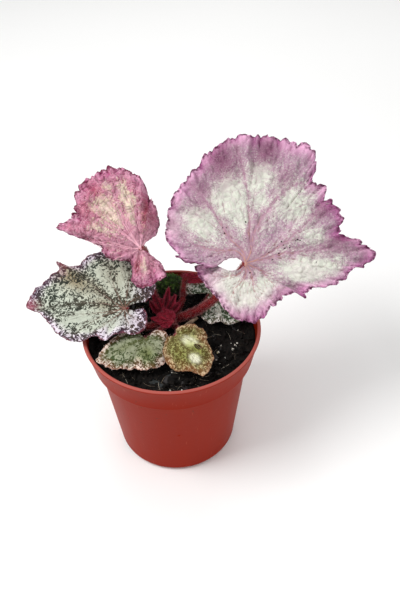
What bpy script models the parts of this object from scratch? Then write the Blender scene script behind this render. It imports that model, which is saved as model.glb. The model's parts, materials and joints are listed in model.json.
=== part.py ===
"""Potted begonia: a young rex begonia with six grown leaves in a 12 cm plastic nursery pot.

The origin is the centre of the pot's underside. +Z is up and the front is towards -Y.
Sizes are in millimetres; MM turns them into Blender's metres.
"""
from math import cos, hypot, pi, radians, sin

import bmesh
import bpy
from mathutils import Matrix, Vector, noise

MM = 0.001
GAP = 0.3
HOLE_GAP = 0.4

# Pot: a rounded lip, a collar that tapers inwards, a step, and a tapered body
POT_HEIGHT = 104.0
RIM_RADIUS = 60.0
LIP_WIDTH = 2.2
COLLAR_TOP_RADIUS = 59.1
COLLAR_FOOT_RADIUS = 55.6
COLLAR_HEIGHT = 21.2
BODY_TOP_RADIUS = 52.0
BODY_FOOT_RADIUS = 42.9
CORNER_RADIUS = 4.7
POT_WALL = 1.2
FLOOR_THICKNESS = 1.6
POT_SIDES = 44

# Drainage: two slots across the foot's corner and a ring of round holes in the floor
SLOT_BEARINGS = (210, 30)
SLOT_WIDTH = 15.0
SLOT_HEIGHT = 3.6
SLOT_DEPTH = 6.5
DRAIN_HOLES = 5
DRAIN_RADIUS = 3.0
DRAIN_RING_RADIUS = 25.0

# Soil: fills the pot to a little under its rim, with a lumpy top that is even near the wall
SOIL_EDGE_Z = 95.5
SOIL_CENTRE_Z = 96.5
SOIL_LUMP = 1.3
SOIL_LUMP_SIZE = 9.0
LUMPS_END_RADIUS = 54.0
LUMPS_FADE = 8.0
SOIL_RINGS = (0, 9, 18, 27, 36, 45, 52)

# Crown: a short upright rhizome half sunk in the soil, behind the middle of the pot, in a shallow dip
CROWN = (-3.0, 13.0)
DIP_DEPTH = 3.0
DIP_REACH = 22.0
RHIZOME_RADIUS = 6.5
RHIZOME_FOOT_Z = 78.0
RHIZOME_TOP_Z = 100.0

# Moss tuft in a shallow bed in the soil at the back
MOSS_PLACE = (-2.0, 45.0)
MOSS_RADIUS = 9.0
MOSS_FOOT_Z = 93.6
MOSS_HEIGHT = 13.0
MOSS_BUMP = 1.4
MOSS_BUMPS_ACROSS = 2.6

# Stump of an old stalk, in its own hole
DRY_STALK_ROUTE = ((6.5, 4.0, 91.0), (10.0, 5.5, 98.5), (14.0, 7.0, 101.0), (17.5, 8.5, 103.0))
DRY_STALK_RADIUS = 1.5

BLADE_THICKNESS = 0.8
# Where a blade reaches less than this, its margin's waves are lower in proportion
RUFFLE_REACH = 25.0
STALK_SIDES_RESOLUTION = 2

# Leaves. A blade is a fan round its hub, where the stalk meets it. Each rib row is one line from the
# hub to the margin: its bearing from the midrib in degrees (counter-clockwise from above), its reach,
# and the margin's lift along the blade's normal. The rows run from one edge of the sinus round to the
# other, with the tip between them. hub is the hub's place. faces is the azimuth and elevation of the
# normal, and heading is the midrib's azimuth. sinus is the share by which bearings close up near the
# hub, out to sinus_reach. puff is the swell between main veins, ruffle the margin's waves.
LEAVES = {
    "big_leaf": {
        "hub": (49, 7, 150), "faces": (-100, 58), "heading": 0,
        "ribs": (
            (-187, 35, -5), (-160, 29, -1), (-134, 29, 2), (-112, 36, 4), (-98, 39, 5), (-84, 40, 5),
            (-70, 36, 5), (-56, 33, 4), (-43, 36, 3), (-37, 43, 2), (-30, 44, 2), (-24, 54, 0),
            (-16, 62, -1), (-11, 65, -3), (-7, 74, -4), (0, 82, -6), (5, 74, -4), (14, 64, -1),
            (21, 70, 0), (34, 68, 2), (39, 73, 3), (45, 69, 3), (49, 80, 3), (54, 88, 2),
            (63, 89, 1), (76, 92, -1), (90, 91, -2), (104, 83, -3), (117, 73, -4), (131, 67, -4),
            (148, 58, -2), (160, 49, 0), (172, 38, 2), (183, 19, 1)),
        "veins": (-150, -106, -70, -38, 3, 38, 70, 112, 156),
        "sinus": 0.2, "sinus_reach": 20, "puff": 1.8, "ruffle": 1.6, "waves": 15,
        "columns": 66, "rows": 7, "colour": (0.62, 0.40, 0.52, 1)},
    "pink_leaf": {
        "hub": (-17, 13, 160), "faces": (-95, 52), "heading": 167,
        "ribs": (
            (-112, 14, -14), (-102, 23, -17), (-93, 30, -13), (-86, 37, -5), (-80, 43, 0), (-72, 48, 2),
            (-63, 54, 2), (-54, 58, 1), (-43, 59, 0), (-33, 58, 0), (-24, 54, 0), (-15, 49, 0),
            (-9, 52, -2), (-3.5, 59, -6), (-1, 45, -7), (3, 36, -8), (8, 28, -8), (15, 24, -8),
            (23, 23, -8), (34, 17, -8), (48, 12, -6), (64, 10, -3), (80, 14, 0), (92, 24, 3),
            (108, 26, 5), (128, 26, 5), (143, 25, 4), (156, 15, 1)),
        "veins": (-96, -72, -54, -33, -3, 24, 60, 98, 128),
        "sinus": 0.0, "sinus_reach": 10, "puff": 1.6, "ruffle": 1.5, "waves": 13,
        "columns": 56, "rows": 6, "colour": (0.60, 0.26, 0.34, 1)},
    "silver_leaf": {
        "hub": (-29, -4, 124), "faces": (-115, 68), "heading": 168,
        "ribs": (
            (-150, 14, -3), (-141, 20, -4), (-127, 26, -4), (-107, 33, -2), (-91, 40, 0), (-76, 46, 0),
            (-62, 49, 0), (-50, 51, 0), (-40, 51, 0), (-33, 54, 1), (-30.4, 63.6, 2), (-27, 58, 0),
            (-22, 62.5, -2), (-16, 66, -2), (-8, 69, -3), (-1, 73, -6), (4, 61, -5), (13, 53, -3), (23, 48, -3),
            (35, 41, -3), (43, 33, -2), (54, 26, 0), (66, 25, -1), (82, 19, 0), (97, 17, 0),
            (112, 19, -2), (130, 19, -3), (150, 18, -3), (168, 15, -2), (186, 12, 0)),
        "veins": (-128, -96, -64, -32, -2, 30, 62, 110, 150),
        "sinus": 0.12, "sinus_reach": 14, "puff": 1.4, "ruffle": 1.2, "waves": 13,
        "columns": 56, "rows": 6, "colour": (0.42, 0.45, 0.40, 1)},
    "front_leaf": {
        "hub": (-16.5, -18.5, 111), "faces": (-95, 77), "heading": -158,
        "ribs": (
            (-70, 7, 0), (-58, 10, 0), (-38, 17, -1), (-14, 26, -2), (-2, 32, -2), (4, 34, -3),
            (13, 31, -3), (23, 28.5, -3), (33, 25.5, -3), (46, 22, -3), (65, 22, -3), (78, 22, -3),
            (97, 21, -4), (114, 20, -5), (135, 18, -5), (160, 16, -4), (183, 13, -2), (203, 7, 0)),
        "veins": (-38, 2, 40, 78, 116, 155),
        "sinus": 0.1, "sinus_reach": 8, "puff": 1.0, "ruffle": 0.6, "waves": 11,
        "columns": 40, "rows": 4, "colour": (0.42, 0.45, 0.25, 1)},
    "bronze_leaf": {
        "hub": (3.5, -18.5, 113), "faces": (-85, 77), "heading": -58,
        "ribs": (
            (-108, 6, 0), (-88, 8, -1), (-64, 15, -1), (-44, 21.5, -2), (-32, 25, -3), (-21, 26, -3),
            (-9, 28.5, -3), (-1, 33, -3), (10, 32, -3), (23, 29, -3), (46, 21, -2), (70, 19, -2),
            (87, 15.5, -1), (115, 9.5, -1), (148, 5, 0)),
        "veins": (-60, -28, 4, 36, 74),
        "sinus": 0.0, "sinus_reach": 8, "puff": 1.0, "ruffle": 0.6, "waves": 8,
        "columns": 30, "rows": 4, "colour": (0.35, 0.28, 0.10, 1)},
    "back_leaf": {
        "hub": (26.5, 25.5, 109), "faces": (-75, 80), "heading": -23,
        "ribs": (
            (-96, 10, -1), (-87, 18, -2), (-72, 23, -2), (-52, 24, -2), (-38, 28, -3), (-19, 30, -3),
            (5, 27, -3), (30, 24, -2), (52, 22, -1), (84, 18, -1), (110, 14, 0), (135, 13, 0),
            (162, 18, -1), (183, 18, -1), (200, 16, -2)),
        "veins": (-70, -30, 5, 48, 100, 160),
        "sinus": 0.08, "sinus_reach": 8, "puff": 1.0, "ruffle": 0.7, "waves": 10,
        "columns": 36, "rows": 4, "colour": (0.36, 0.42, 0.33, 1)},
    "young_leaf": {
        "hub": (-6, 12, 102.5), "faces": (-90, 30), "heading": 80,
        "ribs": (
            (-84, 3.5, 1), (-60, 9, 2), (-38, 15, 1), (-22, 16, -1), (-11, 16, 1), (-1, 21, 0),
            (9, 15, -2), (18, 15, 1), (28, 18.5, 0), (38, 15, 1), (60, 10, 2), (86, 5, 1)),
        "veins": (-38, -1, 28),
        "sinus": 0.0, "sinus_reach": 4, "puff": 1.6, "ruffle": 0.6, "waves": 7,
        "columns": 26, "rows": 5, "colour": (0.25, 0.01, 0.03, 1)},
    "sheath_leaf": {
        "hub": (1.5, 2.5, 105), "faces": (-98, 40), "heading": 155,
        "ribs": (
            (-84, 4, 1), (-58, 7.5, 2), (-36, 9, 1), (-20, 13, 2), (-6, 12, 0), (2, 16, -1),
            (10, 11.5, 1), (24, 11.5, 3), (42, 8, 3), (58, 8, 4), (84, 4, 2)),
        "veins": (-36, 2, 42),
        "sinus": 0.0, "sinus_reach": 4, "puff": 1.2, "ruffle": 0.6, "waves": 5,
        "columns": 16, "rows": 4, "colour": (0.28, 0.01, 0.04, 1)},
    "bud_leaf": {
        "hub": (11, 31, 118.5), "faces": (-88, 25), "heading": 1,
        "ribs": (
            (-80, 4, 0), (-45, 7, 1), (-20, 12, 1), (-4, 17, 0), (8, 15, -1), (24, 10, 1),
            (50, 7, 2), (84, 4, 1)),
        "veins": (-20, 0, 24),
        "sinus": 0.0, "sinus_reach": 4, "puff": 0.9, "ruffle": 0.5, "waves": 5,
        "columns": 16, "rows": 4, "colour": (0.20, 0.01, 0.03, 1)},
}

# Stalks: each route starts inside the rhizome and ends square under its leaf's hub, or for an upright
# young leaf on the end of its midrib
STALKS = {
    "big_leaf": {"route": ((-1, 13, 97), (9.5, 11, 102.5), (19.5, 9, 110), (30, 7.5, 121), (40, 8, 134)),
                 "radii": (2.9, 2.1)},
    "pink_leaf": {"route": ((-4, 16, 96), (-9, 24, 101), (-14, 31, 113), (-15, 33, 130), (-16, 26, 147)),
                  "radii": (2.4, 1.7)},
    "silver_leaf": {"route": ((-4, 12, 97), (-12, 4, 100.6), (-19, 0, 104), (-26, -2.5, 112)),
                    "radii": (2.3, 1.7)},
    "front_leaf": {"route": ((-3, 11, 97), (-6, 1, 101), (-11, -9, 105)), "radii": (1.8, 1.3)},
    "bronze_leaf": {"route": ((-1, 10, 97), (4.5, 1, 99), (5, -8, 103.5)), "radii": (1.8, 1.3)},
    "back_leaf": {"route": ((-1, 15, 97), (9.5, 16, 99), (19.5, 20.5, 100.3)), "radii": (1.8, 1.3)},
    "young_leaf": {"route": ((-4.6, 11.5, 91),), "radii": (2.4, 1.6), "on_end": True},
    "sheath_leaf": {"route": ((-2, 11, 98),), "radii": (2.0, 1.2)},
    "bud_leaf": {"route": ((-1, 15, 98), (4.5, 19, 102.5), (7.5, 24, 107), (8.3, 28, 112.5)),
                 "radii": (2.0, 1.4), "on_end": True},
}
STALK_POINTS_PER_SPAN = 3


def start_scene():
    """Empty the scene and return the collections for the object and for its cutters."""
    for old in list(bpy.data.objects):
        bpy.data.objects.remove(old)
    groups = []
    for name in ("potted_begonia", "cutters"):
        group = bpy.data.collections.new(name)
        bpy.context.scene.collection.children.link(group)
        groups.append(group)
    return groups


def new_material(name, colour, roughness):
    """A plain Principled material; nothing on this plant is metal."""
    material = bpy.data.materials.new(name)
    material.use_nodes = True
    shader = material.node_tree.nodes["Principled BSDF"]
    shader.inputs["Base Color"].default_value = colour
    shader.inputs["Roughness"].default_value = roughness
    shader.inputs["Metallic"].default_value = 0.0
    return material


def new_object(name, data, group, colour=None, roughness=0.6):
    """Link a named object, with its own material if a colour is given."""
    made = bpy.data.objects.new(name, data)
    group.objects.link(made)
    if colour:
        data.materials.append(new_material(name, colour, roughness))
    return made


def mesh_from(bm, name):
    """Turn a bmesh into a mesh and free it."""
    mesh = bpy.data.meshes.new(name)
    bm.to_mesh(mesh)
    bm.free()
    return mesh


def evaluated_mesh(source, name):
    """The mesh that an object shows, in world space, with loose caps welded on."""
    graph = bpy.context.evaluated_depsgraph_get()
    mesh = bpy.data.meshes.new_from_object(source.evaluated_get(graph))
    mesh.name = name
    mesh.transform(source.matrix_world)
    bm = bmesh.new()
    bm.from_mesh(mesh)
    bmesh.ops.remove_doubles(bm, verts=bm.verts, dist=0.01 * MM)
    bm.to_mesh(mesh)
    bm.free()
    return mesh


def cut(target, cutter):
    """Take a cutter's shape out of a target, and hide the cutter."""
    cutter.hide_render = True
    cutter.display_type = "WIRE"
    step = target.modifiers.new("cut_" + cutter.name, "BOOLEAN")
    step.operation = "DIFFERENCE"
    step.object = cutter


def along(rows, t):
    """A smooth line through evenly spread rows (Catmull-Rom), read at t from 0 to 1."""
    last = len(rows) - 1
    i = min(int(t * last), last - 1)
    u = t * last - i
    before, start, end, after = (rows[min(max(k, 0), last)] for k in (i - 1, i, i + 1, i + 2))
    return tuple(
        b + 0.5 * u * (c - a + u * (2 * a - 5 * b + 4 * c - d + u * (3 * (b - c) + d - a)))
        for a, b, c, d in zip(before, start, end, after))


def smooth_step(x):
    """0 below 0, 1 above 1, and a smooth rise between."""
    x = min(max(x, 0.0), 1.0)
    return x * x * (3 - 2 * x)


def turned(name, profile, sides, group, colour, roughness):
    """A solid turned round Z from (radius, height) points that start and end on the axis."""
    bm = bmesh.new()
    points = [bm.verts.new((radius * MM, 0, height * MM)) for radius, height in profile]
    for start, end in zip(points, points[1:]):
        bm.edges.new((start, end))
    made = new_object(name, mesh_from(bm, name), group, colour, roughness)
    screw = made.modifiers.new("turn", "SCREW")
    screw.steps = sides
    screw.render_steps = sides
    screw.use_merge_vertices = True
    screw.merge_threshold = 0.00001
    screw.use_smooth_shade = True
    return made


def inner_wall():
    """The pot's inner surface from the floor up to under the lip, as (radius, height) points."""
    collar_foot_z = POT_HEIGHT - COLLAR_HEIGHT
    return [
        (BODY_FOOT_RADIUS - CORNER_RADIUS, FLOOR_THICKNESS),
        (BODY_FOOT_RADIUS - 2.2, FLOOR_THICKNESS + 2.0),
        (BODY_TOP_RADIUS - POT_WALL, collar_foot_z - 1.0),
        (COLLAR_FOOT_RADIUS - POT_WALL, collar_foot_z + 1.4),
        (COLLAR_TOP_RADIUS - POT_WALL, POT_HEIGHT - 3.0),
    ]


def foot_corner(steps=4):
    """The rounded corner between the pot's body and its underside, from the side down."""
    centre_r = BODY_FOOT_RADIUS - CORNER_RADIUS
    arc = [radians(90) * k / steps for k in range(steps + 1)]
    return [(centre_r + CORNER_RADIUS * cos(a), CORNER_RADIUS * (1 - sin(a))) for a in arc]


def make_pot(group, cutters):
    """The pot: lip, collar, step, tapered body and flat floor, with its drain slots and holes."""
    collar_foot_z = POT_HEIGHT - COLLAR_HEIGHT
    lip = [
        (RIM_RADIUS - LIP_WIDTH, POT_HEIGHT - 1.0),
        (RIM_RADIUS - 1.6, POT_HEIGHT - 0.2),
        (RIM_RADIUS - 1.0, POT_HEIGHT),
        (RIM_RADIUS - 0.3, POT_HEIGHT - 0.4),
        (RIM_RADIUS, POT_HEIGHT - 1.1),
        (RIM_RADIUS, POT_HEIGHT - 2.3),
        (COLLAR_TOP_RADIUS, POT_HEIGHT - 3.0),
    ]
    outside = [
        (COLLAR_FOOT_RADIUS, collar_foot_z + 0.5),
        (COLLAR_FOOT_RADIUS - 0.4, collar_foot_z),
        (BODY_TOP_RADIUS, collar_foot_z - 0.6),
    ]
    profile = [(0, FLOOR_THICKNESS)] + inner_wall() + lip + outside + foot_corner() + [(0, 0)]
    pot = turned("pot", profile, POT_SIDES, group, (0.49, 0.07, 0.035, 1), 0.45)
    for number, bearing in enumerate(SLOT_BEARINGS):
        bm = bmesh.new()
        size = Matrix.Diagonal((SLOT_DEPTH * 2 * MM, SLOT_WIDTH * MM, SLOT_HEIGHT * 2 * MM, 1))
        bmesh.ops.create_cube(bm, size=1, matrix=size)
        slot = new_object(f"slot_{number + 1}", mesh_from(bm, "slot"), cutters)
        turn = radians(bearing)
        reach = (BODY_FOOT_RADIUS + 0.5) * MM
        slot.location = (reach * cos(turn), reach * sin(turn), 0)
        slot.rotation_euler = (0, 0, turn)
        cut(pot, slot)
    for number in range(DRAIN_HOLES):
        turn = 2 * pi * (number + 0.25) / DRAIN_HOLES
        hole = cylinder(f"drain_{number + 1}", DRAIN_RADIUS, -2, FLOOR_THICKNESS + 2, 16, cutters)
        hole.location.x = DRAIN_RING_RADIUS * MM * cos(turn)
        hole.location.y = DRAIN_RING_RADIUS * MM * sin(turn)
        cut(pot, hole)
    return pot


def cylinder(name, radius, low, high, sides, group):
    """An upright cylinder between two heights, on the Z axis until it is moved."""
    bm = bmesh.new()
    bmesh.ops.create_cone(
        bm, cap_ends=True, segments=sides, radius1=radius * MM, radius2=radius * MM,
        depth=(high - low) * MM)
    made = new_object(name, mesh_from(bm, name), group)
    made.location.z = (low + high) / 2 * MM
    return made


def soil_top(x, y):
    """Height of the soil's lumps over its plain surface; they fade near the wall and round the crown."""
    away = smooth_step((LUMPS_END_RADIUS - hypot(x, y)) / LUMPS_FADE)
    near_crown = 1 - smooth_step(hypot(x - CROWN[0], y - CROWN[1]) / DIP_REACH)
    lump = noise.noise(Vector((x, y, 4.0)) / SOIL_LUMP_SIZE)
    fine = noise.noise(Vector((x, y, 9.0)) / SOIL_LUMP_SIZE * 2.3)
    return away * SOIL_LUMP * (1 - near_crown) * (lump + 0.5 * fine) - DIP_DEPTH * near_crown


def make_soil(group):
    """The soil: it follows the pot's inner wall at a small gap and has a lumpy top."""
    side = [(radius - GAP - 0.05, height + GAP) for radius, height in inner_wall()]
    below = [point for point in side if point[1] < SOIL_EDGE_Z]
    low, high = side[-2], side[-1]
    share = (SOIL_EDGE_Z - low[1]) / (high[1] - low[1])
    edge = (low[0] + share * (high[0] - low[0]), SOIL_EDGE_Z)
    fall = SOIL_CENTRE_Z - SOIL_EDGE_Z
    top = [(r, SOIL_CENTRE_Z - fall * (r / edge[0]) ** 2) for r in SOIL_RINGS]
    profile = top + [edge] + below[::-1] + [(0, FLOOR_THICKNESS + GAP)]
    plain = turned("plain_soil", profile, POT_SIDES, group, None, 0)
    mesh = evaluated_mesh(plain, "soil")
    bpy.data.objects.remove(plain)
    for vertex in mesh.vertices:
        if vertex.co.z > (SOIL_EDGE_Z - 0.1) * MM:
            vertex.co.z += soil_top(vertex.co.x / MM, vertex.co.y / MM) * MM
    return new_object("soil", mesh, group, (0.02, 0.013, 0.01, 1), 0.95)


def tube(name, points, radii, group):
    """A round tube along points, whose radius runs evenly from the first to the last of radii."""
    data = bpy.data.curves.new(name, "CURVE")
    data.dimensions = "3D"
    data.bevel_depth = MM
    data.bevel_resolution = STALK_SIDES_RESOLUTION
    data.use_fill_caps = True
    spline = data.splines.new("POLY")
    spline.points.add(len(points) - 1)
    for index, (knot, place) in enumerate(zip(spline.points, points)):
        knot.co = (*(value * MM for value in place), 1)
        knot.radius = radii[0] + (radii[-1] - radii[0]) * index / (len(points) - 1)
    return new_object(name, data, group)


def tube_mesh(name, points, radii, group):
    """The same tube as a closed mesh object."""
    curve = tube(name + "_curve", points, radii, group)
    mesh = evaluated_mesh(curve, name)
    bpy.data.objects.remove(curve)
    return new_object(name, mesh, group)


def normal_of(leaf):
    """Unit normal of a blade, out of its upper face."""
    azimuth, elevation = (radians(value) for value in leaf["faces"])
    return Vector((cos(azimuth) * cos(elevation), sin(azimuth) * cos(elevation), sin(elevation)))


def turn_of(leaf):
    """Rotation of a blade: its X runs along the midrib and its Z is the normal."""
    normal = normal_of(leaf)
    east, north = cos(radians(leaf["heading"])), sin(radians(leaf["heading"]))
    rise = -(normal.x * east + normal.y * north) / normal.z
    midrib = Vector((east, north, rise)).normalized()
    return Matrix((midrib, normal.cross(midrib), normal)).transposed()


def swell_between(veins, bearing):
    """0 on a main vein and 1 halfway to the next one."""
    for start, end in zip(veins, veins[1:]):
        if start <= bearing <= end:
            return sin(pi * (bearing - start) / (end - start))
    return 0.0


def blade_point(leaf, t, s):
    """Place on a blade: t runs round the fan from one sinus edge to the other, s out from the hub."""
    bearing, reach, lift = along(leaf["ribs"], t)
    swell = swell_between(leaf["veins"], bearing)
    radius = reach * s
    bearing *= 1 - leaf["sinus"] * (1 - smooth_step(radius / leaf["sinus_reach"]))
    wave = sin(2 * pi * leaf["waves"] * t) + 0.5 * sin(2 * pi * leaf["waves"] * 0.43 * t + 1)
    puff = leaf["puff"] * swell * 6.75 * s * s * (1 - s)
    ruffle = leaf["ruffle"] * wave * min(reach / RUFFLE_REACH, 1) * s ** 3
    height = lift * s * s + puff + ruffle
    return radius * cos(radians(bearing)), radius * sin(radians(bearing)), height


def make_blade(name, leaf, group):
    """A thin blade: a grid laid out as the fan, cut into triangles and given its thickness."""
    bm = bmesh.new()
    bmesh.ops.create_grid(bm, x_segments=leaf["columns"], y_segments=leaf["rows"], size=0.5)
    for vertex in bm.verts:
        place = blade_point(leaf, vertex.co.x + 0.5, vertex.co.y + 0.5)
        vertex.co = Vector(place) * MM
    bmesh.ops.remove_doubles(bm, verts=bm.verts, dist=0.001 * MM)
    bmesh.ops.triangulate(bm, faces=bm.faces)
    bmesh.ops.recalc_face_normals(bm, faces=bm.faces)
    if sum(face.normal.z for face in bm.faces) < 0:
        bmesh.ops.reverse_faces(bm, faces=bm.faces)
    blade = new_object(name, mesh_from(bm, name), group, leaf["colour"], 0.55)
    blade.location = Vector(leaf["hub"]) * MM
    blade.rotation_euler = turn_of(leaf).to_euler()
    skin = blade.modifiers.new("thickness", "SOLIDIFY")
    skin.thickness = BLADE_THICKNESS * MM
    skin.offset = 0
    return blade


def stalk_points(name):
    """Smooth points along a stalk, with a last straight length square to its seat at the hub."""
    leaf = LEAVES[name]
    hub = Vector(leaf["hub"])
    on_end = STALKS[name].get("on_end", False)
    seat_line = turn_of(leaf).col[0] if on_end else normal_of(leaf)
    seat = GAP + 0.1 if on_end else BLADE_THICKNESS / 2 + GAP + 0.1
    straight = STALKS[name]["radii"][1]
    knots = [Vector(place) for place in STALKS[name]["route"]]
    knots += [hub - seat_line * (seat + straight)]
    spans = (len(knots) - 1) * STALK_POINTS_PER_SPAN
    return [along(knots, step / spans) for step in range(spans + 1)] + [hub - seat_line * seat]


def make_stems(group):
    """The rhizome and all living stalks, grown together as one body."""
    x, y = CROWN
    heights = (RHIZOME_FOOT_Z, RHIZOME_FOOT_Z + 8, RHIZOME_TOP_Z - 3, RHIZOME_TOP_Z)
    root = [(x, y, height) for height in heights]
    stems = tube_mesh("stems", root, (RHIZOME_RADIUS * 0.8, RHIZOME_RADIUS), group)
    stems.data.materials.append(new_material("stems", (0.24, 0.015, 0.02, 1), 0.7))
    joined = bpy.data.collections.new("joined_stalks")
    bpy.context.scene.collection.children.link(joined)
    for name in STALKS:
        tube_mesh(name + "_stalk", stalk_points(name), STALKS[name]["radii"], joined)
    join = stems.modifiers.new("grow_together", "BOOLEAN")
    join.operation = "UNION"
    join.operand_type = "COLLECTION"
    join.collection = joined
    mesh = evaluated_mesh(stems, "stems")
    stems.modifiers.clear()
    stems.data = mesh
    for stalk in list(joined.objects):
        bpy.data.objects.remove(stalk)
    bpy.data.collections.remove(joined)
    return stems


def make_moss(group):
    """A bumpy cushion of moss with a flat underside."""
    bm = bmesh.new()
    bmesh.ops.create_icosphere(bm, subdivisions=3, radius=1)
    for vertex in bm.verts:
        upper = smooth_step(vertex.co.z * 3)
        bump = 1 + MOSS_BUMP / MOSS_RADIUS * noise.noise(vertex.co * MOSS_BUMPS_ACROSS) * upper
        wide = MOSS_RADIUS * min(bump, 1) * MM
        high = MOSS_HEIGHT * bump * MM
        vertex.co = Vector((vertex.co.x * wide, vertex.co.y * wide, max(vertex.co.z, 0) * high))
    moss = new_object("moss", mesh_from(bm, "moss"), group, (0.03, 0.07, 0.015, 1), 0.95)
    moss.location = Vector((*MOSS_PLACE, MOSS_FOOT_Z)) * MM
    return moss


def make_holes(soil, cutters):
    """Plain holes in the soil for the rhizome, the moss and the old stalk."""
    well = cylinder("rhizome_hole", RHIZOME_RADIUS + HOLE_GAP, RHIZOME_FOOT_Z - GAP, 110, 20, cutters)
    well.location.x = CROWN[0] * MM
    well.location.y = CROWN[1] * MM
    cut(soil, well)
    bed = cylinder("moss_bed", MOSS_RADIUS + HOLE_GAP, MOSS_FOOT_Z - GAP, 110, 24, cutters)
    bed.location.x = MOSS_PLACE[0] * MM
    bed.location.y = MOSS_PLACE[1] * MM
    cut(soil, bed)
    wide = DRY_STALK_RADIUS + HOLE_GAP
    first = Vector(DRY_STALK_ROUTE[0])
    away = (first - Vector(DRY_STALK_ROUTE[1])).normalized() * GAP
    route = (tuple(first + away),) + DRY_STALK_ROUTE[1:]
    cut(soil, tube_mesh("dry_stalk_hole", route, (wide, wide), cutters))


def main():
    group, cutters = start_scene()
    make_pot(group, cutters)
    soil = make_soil(group)
    make_holes(soil, cutters)
    make_stems(group)
    for name, leaf in LEAVES.items():
        make_blade(name, leaf, group)
    make_moss(group)
    dry = tube_mesh("dry_stalk", DRY_STALK_ROUTE, (DRY_STALK_RADIUS, DRY_STALK_RADIUS * 0.8), group)
    dry.data.materials.append(new_material("dry_stalk", (0.35, 0.22, 0.13, 1), 0.85))


main()
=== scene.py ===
# %% [markdown]
# Potted begonia: a young rex begonia in a 12 cm plastic nursery pot.
#
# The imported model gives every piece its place. Here each leaf, stalk and lump of soil is made again
# with a finer surface on the same form, and gets the finish of the real thing.

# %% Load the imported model
from math import cos, hypot, pi, radians, sin

import bmesh
import bpy
import numpy as np
from mathutils import Matrix, Vector, noise
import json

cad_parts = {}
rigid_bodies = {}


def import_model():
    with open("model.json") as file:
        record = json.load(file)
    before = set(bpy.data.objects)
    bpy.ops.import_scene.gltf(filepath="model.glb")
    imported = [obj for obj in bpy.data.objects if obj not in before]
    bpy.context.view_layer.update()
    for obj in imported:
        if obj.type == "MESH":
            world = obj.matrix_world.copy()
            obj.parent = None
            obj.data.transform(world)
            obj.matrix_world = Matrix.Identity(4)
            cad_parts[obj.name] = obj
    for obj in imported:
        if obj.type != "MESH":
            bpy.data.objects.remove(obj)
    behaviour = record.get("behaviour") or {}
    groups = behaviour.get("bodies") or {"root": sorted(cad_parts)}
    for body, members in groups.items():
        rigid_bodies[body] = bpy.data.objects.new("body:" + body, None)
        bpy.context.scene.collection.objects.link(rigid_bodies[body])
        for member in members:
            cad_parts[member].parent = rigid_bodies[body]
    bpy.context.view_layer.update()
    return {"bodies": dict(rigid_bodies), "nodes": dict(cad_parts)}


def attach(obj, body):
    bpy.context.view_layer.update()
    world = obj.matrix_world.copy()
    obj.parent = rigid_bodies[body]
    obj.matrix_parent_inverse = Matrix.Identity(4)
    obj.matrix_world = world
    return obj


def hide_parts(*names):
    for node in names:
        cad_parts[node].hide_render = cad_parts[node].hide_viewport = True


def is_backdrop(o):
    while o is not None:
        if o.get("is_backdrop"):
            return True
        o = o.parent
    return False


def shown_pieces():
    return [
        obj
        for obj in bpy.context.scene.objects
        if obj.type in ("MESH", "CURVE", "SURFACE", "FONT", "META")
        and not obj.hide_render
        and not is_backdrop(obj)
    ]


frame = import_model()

MM = 0.001
print("CAD nodes:", sorted(frame["nodes"]))

# %% [markdown]
# Camera and light. The photo looks down at the pot from about 41 degrees, from the height of a
# person standing at a table. The whole frame is lit by a pale sky, as in a shop's photo tent, with
# one large soft lamp over the plant's left shoulder, so that the ruffles and the pot's lip catch it.

# %% Camera at the photo's viewing angle
CAMERA_PLACE = (0.0196, -0.3372, 0.4230)  # metres
LOOK_DOWN = 41.36  # degrees
CAMERA_ROLL = -1.58
LENS_MM = 41.4
NEAREST_SEEN = 0.01  # metres
scene = bpy.context.scene


def link_new(name, data):
    """Link an object for new data, at the origin."""
    made = bpy.data.objects.new(name, data)
    scene.collection.objects.link(made)
    return made


camera = link_new("camera", bpy.data.cameras.new("camera"))
camera.data.lens = LENS_MM
camera.data.clip_start = NEAREST_SEEN
aim = Matrix.Rotation(radians(90 - LOOK_DOWN), 4, "X") @ Matrix.Rotation(radians(CAMERA_ROLL), 4, "Z")
camera.matrix_world = Matrix.Translation(CAMERA_PLACE) @ aim
scene.camera = camera
print("camera at", CAMERA_PLACE)

# %% Sky and lamps
SKY_STRENGTH = 0.64
LAMPS = {  # place and size in metres and power in watts; each one looks at the plant's middle
    "key_lamp": ((-0.6, -0.2, 1.0), 0.5, 8.5),
    "fill_lamp": ((0.8, -0.6, 0.5), 0.8, 1.5),
    "back_lamp": ((0.1, 0.9, 0.8), 0.8, 2.0),
}
PLANT_MIDDLE = Vector((0.0, 0.0, 0.1))

scene.view_settings.view_transform = "Standard"
scene.world = bpy.data.worlds.new("sky")
scene.world.use_nodes = True
sky = scene.world.node_tree.nodes["Background"].inputs
sky["Color"].default_value = (1, 1, 1, 1)
sky["Strength"].default_value = SKY_STRENGTH
for name, (place, size, power) in LAMPS.items():
    lamp = link_new(name, bpy.data.lights.new(name, "AREA"))
    lamp.data.size = size
    lamp.data.energy = power
    lamp.location = place
    lamp.rotation_euler = (PLANT_MIDDLE - lamp.location).to_track_quat("-Z", "Y").to_euler()
print("lamps:", *LAMPS)

# %% [markdown]
# Helpers for finishes. Colours are written as they look on a screen, in sRGB hex, and turned to the
# linear values that light is worked out in. One function adds any node, sets its properties and
# fills or links its inputs. Many plain finishes here run between two colours by a soft noise, and one
# function makes them all.

# %% Helpers for finishes
def linear(colour):
    """An sRGB hex colour as linear RGBA."""
    parts = [int(colour[k:k + 2], 16) / 255 for k in (1, 3, 5)]
    return (*[c / 12.92 if c <= 0.04045 else ((c + 0.055) / 1.055) ** 2.4 for c in parts], 1.0)


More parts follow.
